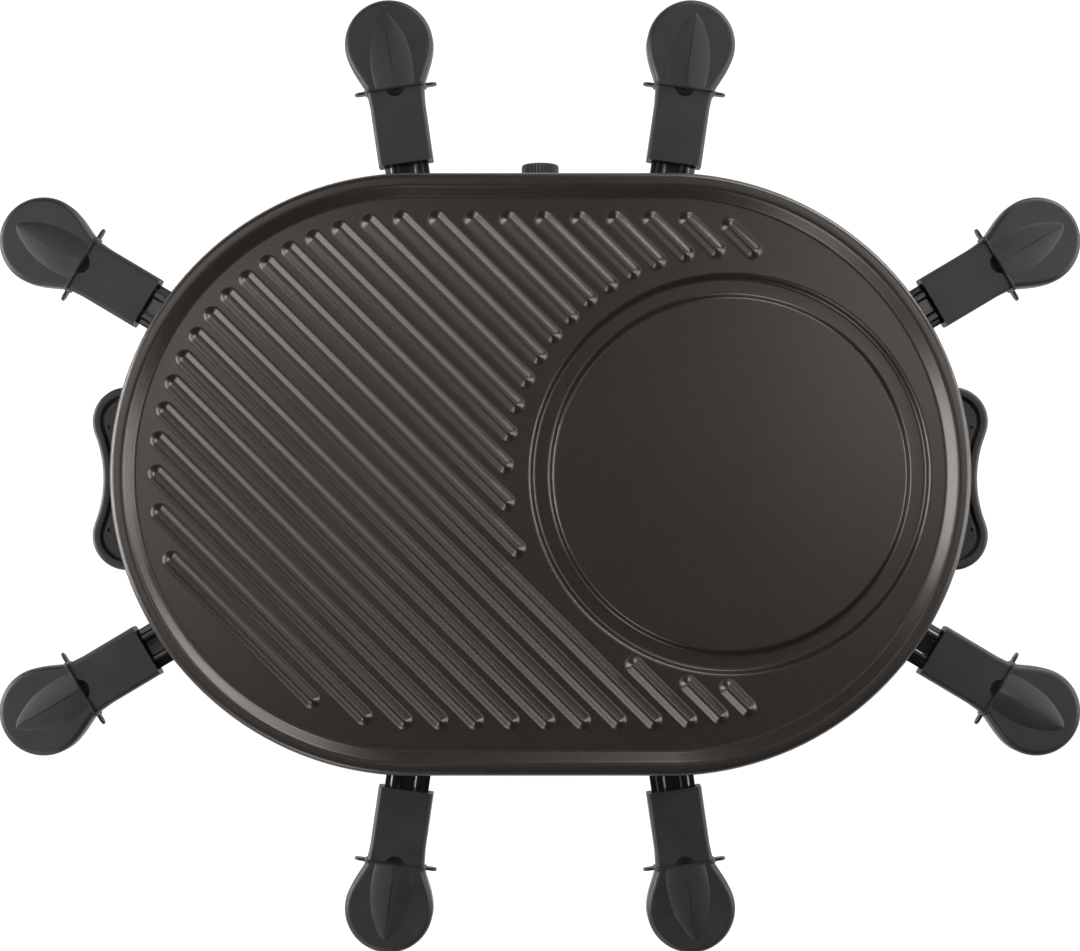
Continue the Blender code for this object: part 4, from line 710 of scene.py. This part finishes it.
# Pointer paint: a warm white stamped ink, slightly worn
pointer_ink, tree, shader, place = new_material("pointer_ink", IOR=1.5, Roughness=0.5)
wear = add_node(tree, "TexNoise", {"Scale": per_metre(1.5), "Detail": 4.0}, {"Vector": place})
tint = add_node(tree, "Mix", {6: colour("#c9c7c1"), 7: colour("#e8e6e0")}, {0: wear}, data_type="RGBA")
feed(shader, {"Base Color": tint.outputs[2]})
pointer = box((-0.6, 2.0, 0), (0.6, 6.6, 0.25))
rounded(pointer, edges_along(pointer, 2), 0.55, 4)
pointer_line = make_piece(
    "knob_pointer", moved(pointer, knob_matrix @ at(0, 0, 9.22)), pointer_ink)
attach(pointer_line, "knob")

# Pilot lens: clear red moulded plastic with a domed, finely beaded front
red_plastic, tree, shader, place = new_material(
    "red_lens_plastic", IOR=1.49, Transmission_Weight=0.35, Roughness=0.12)
beads = add_node(tree, "TexVoronoi", {"Scale": per_metre(0.8)}, {"Vector": place})
tint = add_node(
    tree, "Mix", {6: colour("#7a0f0a"), 7: colour("#b3241a")}, {0: beads.outputs["Distance"]},
    data_type="RGBA")
bump = add_node(tree, "Bump", {"Distance": 0.0001}, {"Height": beads.outputs["Distance"]})
feed(shader, {"Base Color": tint.outputs[2], "Normal": bump})
lens = turned([
    (2.6, 133.9), (2.6, 145.7), (3.0, 145.7), (3.0, 149.3), (4.0, 149.3), (3.9, 149.7),
    (3.3, 150.2), (2.4, 150.55), (1.2, 150.7)], 32)
lamp = make_piece("pilot_lens", moved(lens, to_lamp), red_plastic)
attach(lamp, "base")
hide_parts("pilot_lamp")


# Inlet and wiring: a rubber bushing snapped in the tub's rear wall, a ceramic terminal block
# on the tub's floor, and two leads in braided glass sleeving up to the thermostat.
braided_sleeve, tree, shader, place = new_material(
    "braided_glass_sleeve", IOR=1.5, Roughness=0.8)
strand = add_node(
    tree, "TexWave", {"Scale": per_metre(1.2) / 20, "Distortion": 2.0}, {"Vector": place},
    bands_direction="DIAGONAL")
tint = add_node(
    tree, "Mix", {6: colour("#bdb59f"), 7: colour("#ddd6c4")}, {0: strand}, data_type="RGBA")
bump = add_node(tree, "Bump", {"Distance": 0.0002}, {"Height": strand})
feed(shader, {"Base Color": tint.outputs[2], "Normal": bump})
dress(["supply_lead_1", "supply_lead_2"], braided_sleeve)
bushing = turned([
    (3.5, 138.3), (5.4, 138.3), (5.8, 138.7), (5.8, 139.8), (5.5, 139.8), (5.5, 142.9),
    (8.0, 142.9), (8.0, 143.8), (7.4, 144.6), (6.0, 145.4), (4.4, 145.6), (3.7, 145.3),
    (3.5, 144.6)], 32, 0, True)
inlet = make_piece("inlet_bushing", moved(bushing, to_bushing), soft_rubber)
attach(inlet, "base")
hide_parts("cord_bushing")


# Grill plate: one heavy aluminium casting with a raised rim, long ribs at 45 degrees and a
# round channel that marks a smooth place for pancakes. It is sprayed with non-stick coating.
nonstick, tree, shader, place = new_material(
    "nonstick_coating", IOR=1.62, Specular_Tint=colour("#fff9f1"))
mottle = add_node(
    tree, "TexNoise", {"Scale": per_metre(1.6), "Detail": 4.0, "Roughness": 0.6},
    {"Vector": place})
speck = add_node(tree, "TexNoise", {"Scale": per_metre(0.6)}, {"Vector": place})
cloud = add_node(tree, "TexNoise", {"Scale": per_metre(40), "Detail": 3.0}, {"Vector": place})
tint = add_node(tree, "ValToRGB", None, {0: mottle})
for stop, spot, shade in zip(tint.color_ramp.elements, (0.35, 0.7), ("#1b1715", "#26211f")):
    stop.position = spot
    stop.color = colour(shade)
dull = add_node(tree, "MapRange", {3: 0.27, 4: 0.32}, {0: cloud})
bump = add_node(tree, "Bump", {"Distance": 0.000003}, {"Height": speck})
feed(shader, {"Base Color": tint, "Roughness": dull, "Normal": bump})

PLATE_UNDER, PLATE_FLOOR = 99.0, 106.0
RIM_ROUND, RIM_TOP = 3.0, 111.0
# Distance in from the plate's edge, and height: up the outside, round the rim's outer edge, over
# its slightly crowned top and down its inner slope
plate_section = [
    (11.6, PLATE_UNDER), (10.9, 99.3), (10.5, 100.0), (8.9, 103.6), (8.2, 104.15), (7.4, 104.3),
    (1.3, 104.6), (0.5, 104.8), (0.1, 105.3), (0.0, 106.0)]
for step in range(9):
    angle = math.radians(86) * step / 8
    plate_section.append((RIM_ROUND * (1 - math.cos(angle)),
                          RIM_TOP - 0.04 - RIM_ROUND * (1 - math.sin(angle))))
plate_section += [
    (3.6, 110.98), (4.5, RIM_TOP), (5.4, 110.97), (6.0, 110.9), (6.5, 110.76), (7.0, 110.5),
    (7.45, 110.15), (7.85, 109.78), (11.0, 106.72), (11.4, 106.4), (11.8, 106.18),
    (12.3, 106.05), (12.9, PLATE_FLOOR)]
plate = oval(OVAL_RADIUS, plate_section)

# Round channel: radius and depth below the floor, closed above it
RING_CENTRE = Vector((-94.8, 0))
channel = turned([
    (102.2, 1.0), (101.3, 0.0), (100.75, -0.07), (100.25, -0.3), (99.85, -0.72), (98.75, -2.2),
    (98.3, -2.65), (97.8, -2.9), (97.1, -3.0), (91.7, -3.0), (91.05, -2.9), (90.5, -2.65),
    (90.05, -2.2), (88.95, -0.72), (88.55, -0.3), (88.05, -0.07), (87.5, 0.0), (86.6, 1.0)],
    180, 0, True)
plate = combined(plate, moved(channel, at(*RING_CENTRE, PLATE_FLOOR)), "DIFFERENCE")

# Ribs' axes, counted from the +X, +Y corner; the count takes in a few that miss the plate
RIB_COUNT, RIB_PITCH, FIRST_RIB_OFFSET = 26, 12.6, 160.6
rib_along = Vector((-1, 1)).normalized()
rib_across = Vector((1, 1)).normalized()
# Past the channel the ribs start nearer to it, and all stop shorter of the rear rim
RIB_EDGE_MARGIN, RIB_REAR_MARGIN = 23.1, 27.3
RIB_RING_REACH, RIB_REAR_REACH = 112.9, 107.0
SHORTEST_RIB, SHORTEST_PAST_CHANNEL = 3.4, 12.0
RIB_HALF, RIB_RISE, RIB_STEPS, RIB_END_CUT = 5.2, 2.3, 13, 0.4
# Half of a rib's section from below its foot to its ridge, a smooth wave: offset and height
rib_section = [(RIB_HALF, -0.6)]
for step in range(RIB_STEPS):
    offset = RIB_HALF + (0.1 - RIB_HALF) * step / (RIB_STEPS - 1)
    rib_section.append((offset, RIB_RISE * (1 + math.cos(math.pi * offset / RIB_HALF)) / 2))


def circle_span(origin, along, centre, radius):
    """Where a line enters and leaves a circle, or nothing."""
    middle = (centre - origin).dot(along)
    off_axis = (centre - origin - along * middle).length
    if off_axis >= radius:
        return None
    half = math.sqrt(radius ** 2 - off_axis ** 2)
    return middle - half, middle + half


def oval_span(origin, along, inset):
    """Where a slanted line enters and leaves the plate's oval, moved in by an inset."""
    radius = OVAL_RADIUS - inset
    ends = (Vector((-OVAL_HALF_STRAIGHT, 0)), Vector((OVAL_HALF_STRAIGHT, 0)))
    spans = [circle_span(origin, along, end, radius) for end in ends]
    across = sorted((side * radius - origin.y) / along.y for side in (-1, 1))
    between = sorted((side * OVAL_HALF_STRAIGHT - origin.x) / along.x for side in (-1, 1))
    enters, leaves = max(across[0], between[0]), min(across[1], between[1])
    if leaves > enters:
        spans.append((enters, leaves))
    spans = [span for span in spans if span]
    return (min(span[0] for span in spans), max(span[1] for span in spans)) if spans else None


def rib_runs():
    """Start and end of the axis of every rib, along the rib direction."""
    for number in range(RIB_COUNT):
        origin = rib_across * (FIRST_RIB_OFFSET - RIB_PITCH * number)
        whole = oval_span(origin, rib_along, RIB_EDGE_MARGIN)
        if not whole:
            continue
        shorter = oval_span(origin, rib_along, RIB_REAR_MARGIN)
        rear_end = shorter[1] if shorter else whole[1]
        blocked = circle_span(origin, rib_along, RING_CENTRE, RIB_RING_REACH)
        pieces = [(whole[0], rear_end, SHORTEST_RIB)]
        if blocked:
            past = circle_span(origin, rib_along, RING_CENTRE, RIB_REAR_REACH) or blocked
            pieces = [(whole[0], min(whole[1], blocked[0]), SHORTEST_RIB),
                      (past[1], rear_end, SHORTEST_PAST_CHANNEL)]
        for start, end, shortest in pieces:
            if end - start > shortest:
                yield origin + rib_along * start, origin + rib_along * end


ribs = []
for start, end in rib_runs():
    half_run = (end - start).length / 2
    rib = turned(rib_section, 36, half_run)
    # A cut near each round end keeps the shading of the long flanks straight
    for side in (-1, 1):
        bmesh.ops.bisect_plane(
            rib, geom=all_of(rib), dist=0.00001, plane_co=(side * (half_run - RIB_END_CUT), 0, 0),
            plane_no=(1, 0, 0))
    middle = (start + end) / 2
    turn = Matrix.Rotation(math.atan2(end.y - start.y, end.x - start.x), 4, "Z")
    ribs.append(moved(rib, at(middle.x, middle.y, PLATE_FLOOR) @ turn))
plate = combined(plate, gathered(ribs), "UNION")
cast_plate = make_piece("cast_grill_plate", plate, nonstick)
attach(cast_plate, "plate")
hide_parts("grill_plate")


# Pans: eight wedge-shaped dishes pressed from thin steel, coated like the shelf, with a flat
# lip all round. They stand on the shelf side by side, and each slides out on its own.
PAN_FLOOR, PAN_RIM = 46.3, 62.3
PAN_LENGTH = 80.0
PAN_OUTER_HALF, PAN_INNER_HALF = 35.99, 21.99
PAN_SHEET, PAN_LIP, PAN_CORNER = 1.2, 2.0, 13
# The walls' draft, as the floor's loss on the pan's length and on its mean half width
PAN_DRAFT, PAN_MEAN_HALF = 3, 31
FRONT_PLACE, FRONT_HEADING = (66.97, 144.48), math.radians(81.8)
SIDE_PLACE, SIDE_HEADING = (188.4, 80.77), math.radians(30.8)
PAN_KINDS = [
    (FRONT_PLACE, FRONT_HEADING, -1, -1), (FRONT_PLACE, FRONT_HEADING, 1, -1),
    (SIDE_PLACE, SIDE_HEADING, 1, -1), (SIDE_PLACE, SIDE_HEADING, 1, 1),
    (FRONT_PLACE, FRONT_HEADING, 1, 1), (FRONT_PLACE, FRONT_HEADING, -1, 1),
    (SIDE_PLACE, SIDE_HEADING, -1, 1), (SIDE_PLACE, SIDE_HEADING, -1, -1)]


def pan_matrix(kind):
    """From a pan's own frame, +X outwards from its outer wall, to its place on the shelf."""
    (x, y), heading, side_x, side_y = kind
    turn = math.atan2(math.sin(heading) * side_y, math.cos(heading) * side_x)
    return at(x * side_x, y * side_y, 0) @ Matrix.Rotation(turn, 4, "Z")


def pan_shape():
    """Dish drawn down from its lip: mouth, drafted walls, rounded floor, then its thickness."""
    shape = bmesh.new()
    inner, outer = PAN_INNER_HALF + PAN_LIP, PAN_OUTER_HALF + PAN_LIP
    corners = [shape.verts.new(point) for point in (
        (-PAN_LENGTH - PAN_LIP, -inner, 0), (PAN_LIP, -outer, 0),
        (PAN_LIP, outer, 0), (-PAN_LENGTH - PAN_LIP, inner, 0))]
    shape.faces.new(corners)
    bmesh.ops.bevel(
        shape, geom=corners, offset=PAN_CORNER, offset_type="OFFSET", segments=8, profile=0.5,
        affect="VERTICES", material=-1)
    mouth = shape.faces[:][0]
    bmesh.ops.inset_region(shape, faces=[mouth], thickness=PAN_LIP, use_even_offset=True)
    floor_corners = corners_in(bmesh.ops.extrude_face_region(shape, geom=[mouth])["geom"])
    bmesh.ops.delete(shape, geom=[mouth], context="FACES_ONLY")
    narrowed = ((PAN_LENGTH - PAN_DRAFT) / PAN_LENGTH, 1 - PAN_DRAFT / PAN_MEAN_HALF, 1)
    bmesh.ops.scale(shape, vec=narrowed, verts=floor_corners)
    depth = PAN_RIM - PAN_FLOOR - PAN_SHEET
    bmesh.ops.translate(shape, verts=floor_corners, vec=(0, 0, -depth))
    rounded(shape, ring_edges(floor_corners), 3.0, 4)
    shape.normal_update()
    upper = [edge for edge in shape.edges if len(edge.link_faces) == 2
             and all(abs(corner.co.z) < 0.01 for corner in edge.verts)
             and edge.calc_face_angle() > 0.8]
    rounded(shape, upper, 1.0)
    faced_out(shape)
    floor_face = max(shape.faces, key=lambda face: face.calc_area())
    if floor_face.normal.z < 0:
        bmesh.ops.reverse_faces(shape, faces=shape.faces)
    bmesh.ops.solidify(shape, geom=shape.faces[:], thickness=PAN_SHEET)
    return moved(shape, at(0, 0, PAN_RIM))


for number, kind in enumerate(PAN_KINDS, start=1):
    dish = make_piece(f"pan_{number}_dish", moved(pan_shape(), pan_matrix(kind)), stove_coating)
    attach(dish, f"pan_{number}_set")
    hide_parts(f"pan_{number}")


# Stems: a pressed steel tongue with two beads, bent down to a tab that two rivets hold on the
# pan's outer wall. It is enamelled glossy black.
black_enamel, tree, shader, place = new_material("black_enamel", IOR=1.5)
peel = add_node(tree, "TexNoise", {"Scale": per_metre(2.5), "Detail": 3.0}, {"Vector": place})
tint = add_node(tree, "Mix", {6: colour("#0e0e0f"), 7: colour("#181819")}, {0: peel}, data_type="RGBA")
dull = add_node(tree, "MapRange", {3: 0.12, 4: 0.24}, {0: peel})
bump = add_node(tree, "Bump", {"Distance": 0.00003}, {"Height": peel})
feed(shader, {"Base Color": tint.outputs[2], "Roughness": dull, "Normal": bump})

STEM_TOP, STEM_SHEET, STEM_BEND = 59.0, 1.8, 3.0
# Reaches from the pan's wall: the tongue's outer end, and the beads' end and run-out
STEM_END, BEAD_END, BEAD_RUN_OUT = 40.6, 9, 6
# From this far across, the tongue's edges are turned down
HEM_START = 11
TAB_BACK, TAB_BOTTOM = 0.3, 48.6
RIVET_LEVEL, RIVET_SPREAD = 52.9, 6.5
# Across the tongue: distance from its middle line and rise of the bead there
bead_section = [(3.6, 0.0), (4.0, 0.15), (4.4, 0.65), (4.9, 0.88), (7.6, 0.9), (8.1, 0.65),
                (8.5, 0.15), (8.9, 0.0), (10.9, 0.0), (11.5, -0.3)]


def stem_shape():
    """Tongue, bend and tab carried on from one beaded section, with two rivets."""
    upper = [(-y, z) for y, z in bead_section[::-1]] + bead_section
    lower = [(y, z - STEM_SHEET + (0.6 if abs(y) > HEM_START else 0)) for y, z in upper[::-1]]
    shape = draw_line([(STEM_END, y, z) for y, z in upper + lower], True)
    end = run_tube(shape, shape.verts[:], (BEAD_END - STEM_END, 0, 0))
    end = run_tube(shape, end, (BEAD_RUN_OUT - BEAD_END, 0, 0))
    for corner in end:
        is_upper = corner.co.z > -STEM_SHEET / 3
        if abs(corner.co.y) < HEM_START:
            corner.co.z = 0 if is_upper else -STEM_SHEET
    end = run_tube(shape, end, (TAB_BACK + STEM_BEND - BEAD_RUN_OUT, 0, 0))
    end = bend_tube(
        shape, end, (TAB_BACK + STEM_BEND, 0, -STEM_BEND), (0, 1, 0), -math.pi / 2, 5)
    run_tube(shape, end, (0, 0, TAB_BOTTOM - STEM_TOP + STEM_BEND))
    bmesh.ops.holes_fill(shape, edges=shape.edges, sides=0)
    moved(shape, at(0, 0, STEM_TOP))
    rivets = gathered([
        moved(turned([
            (1.2, -2.4), (2.2, -2.1), (2.7, -1.5), (1.5, -1.5), (1.5, 1.2), (2.7, 1.2),
            (2.7, 2.1), (2.4, 2.7), (1.4, 3.0)], 24), facing((1, 0, 0), (0, y, RIVET_LEVEL)))
        for y in (-RIVET_SPREAD, RIVET_SPREAD)])
    return combined(faced_out(shape), rivets, "UNION")


for number, kind in enumerate(PAN_KINDS, start=1):
    stem = make_piece(f"pan_{number}_tongue", moved(stem_shape(), pan_matrix(kind)), black_enamel)
    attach(stem, f"pan_{number}_set")
    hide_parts(f"pan_{number}_stem")


# Handles: one phenolic moulding each, with a square-cut flat part pressed on the stem, a thin
# upright guard, a short neck and a round bulb with a leaf-shaped spine on its top.
HANDLE_LEVEL = 58.1
BLOCK_START, GUARD_PLACE = 18.6, 58.0
BLOCK_HALF, NECK_HALF, BLOCK_HALF_HEIGHT = 14.3, 15.0, 7
BULB_CENTRE, BULB_RADIUS, BULB_HALF_HEIGHT = GUARD_PLACE + 22.9, 22.95, 7.5
NECK_ANGLE = math.radians(112)
SPINE_FOOT, SPINE_LENGTH = 7.3, 39


def handle_shape():
    """Handle in its pan's frame."""
    block = box((BLOCK_START, -BLOCK_HALF, -BLOCK_HALF_HEIGHT),
                (GUARD_PLACE, BLOCK_HALF, BLOCK_HALF_HEIGHT))
    # From this cut on the block widens to the neck
    bmesh.ops.bisect_plane(
        block, geom=all_of(block), dist=0.001, plane_co=(GUARD_PLACE - 9, 0, 0),
        plane_no=(1, 0, 0))
    for corner in block.verts:
        if corner.co.x > GUARD_PLACE - 0.01:
            corner.co.y *= NECK_HALF / BLOCK_HALF
    long_edges = [edge for edge in block.edges
                  if abs((edge.verts[1].co - edge.verts[0].co).normalized().x) > 0.9
                  and all(abs(corner.co.y) > 10 and abs(corner.co.z) > 6 for corner in edge.verts)]
    rounded(block, long_edges, 2.4, 5)
    # Thumb hollow against the guard
    scoop = bmesh.new()
    bmesh.ops.create_uvsphere(
        scoop, u_segments=32, v_segments=16, radius=1,
        matrix=at(GUARD_PLACE + 0.2, 0, 7.6) @ Matrix.Diagonal((5.0, 5.4, 3.2, 1)))
    block = combined(block, scoop, "DIFFERENCE")

    # Guard: an upright plate round the neck and a low bar across it, each with round corners
    plates = []
    for half_width, half_height, corner in ((NECK_HALF + 1.2, 8.5, 3.0), (21.6, 3.0, 2.9)):
        plate_shape = box((GUARD_PLACE - 0.75, -half_width, -half_height),
                          (GUARD_PLACE + 0.75, half_width, half_height))
        rounded(plate_shape, edges_along(plate_shape, 0), corner, 6)
        plates.append(rounded(plate_shape, edges_across(plate_shape, 0), 0.45))
    guard = combined(plates[0], plates[1], "UNION")

    bulb = bmesh.new()
    corner = bulb.verts.new((BULB_CENTRE + BULB_RADIUS, 0, -BULB_HALF_HEIGHT))
    corner = spun_end(bulb, corner, (BULB_CENTRE, 0, 0), NECK_ANGLE, 26)
    for x, y in ((12, 20.5), (7.2, 18.3), (3.5, 16.5), (0, NECK_HALF)):
        corner = drawn_on(bulb, corner, (GUARD_PLACE + x, y, -BULB_HALF_HEIGHT))
    raise_face(bulb, mirrored_face(bulb), (0, 0, 2 * BULB_HALF_HEIGHT))
    brim = [edge for edge in edges_across(bulb, 2) if len(edge.link_faces) == 2
            and not all(corner.co.x < GUARD_PLACE + 0.01 for corner in edge.verts)]
    rounded(bulb, brim, 3.0, 5)

    spine = bmesh.new()
    corner = spine.verts.new((GUARD_PLACE, 10.4, SPINE_FOOT))
    for x, y in ((4, 10.9), (8, 11.2), (12, 11.2), (16, 10.9), (20, 10.3), (24, 9.4), (28, 8.1),
                 (31, 6.8), (34, 5.2), (36.5, 3.5), (38.3, 1.7), (SPINE_LENGTH, 0)):
        corner = drawn_on(spine, corner, (GUARD_PLACE + x, y, SPINE_FOOT))
    leaf = mirrored_face(spine)
    ring = leaf.verts[:]
    for narrow, rise in ((0.96, 0.3), (0.93, 0.28), (0.8, 0.52), (0.62, 0.55), (0.4, 0.3),
                         (0.2, 0.08)):
        ring = doubled(spine, ring)
        for corner in ring:
            reach = corner.co.x - GUARD_PLACE
            corner.co.y *= narrow
            corner.co.x = GUARD_PLACE + reach * (0.985 + 0.015 * narrow)
            corner.co.z += rise * (1 - 0.75 * (reach / SPINE_LENGTH) ** 3)
    bmesh.ops.contextual_create(spine, geom=ring_edges(ring))

    shape = block
    for addition in (guard, bulb, faced_out(spine)):
        shape = combined(shape, addition, "UNION")
    # Socket that the stem is pressed into
    pocket = box((BLOCK_START - 1, -11.8, -2.2), (BLOCK_START + 22.3, 11.8, 2.1))
    return moved(combined(shape, pocket, "DIFFERENCE"), at(0, 0, HANDLE_LEVEL))


for number, kind in enumerate(PAN_KINDS, start=1):
    grip = make_piece(f"pan_{number}_grip", moved(handle_shape(), pan_matrix(kind)), phenolic)
    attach(grip, f"pan_{number}_set")
    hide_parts(f"pan_{number}_handle")
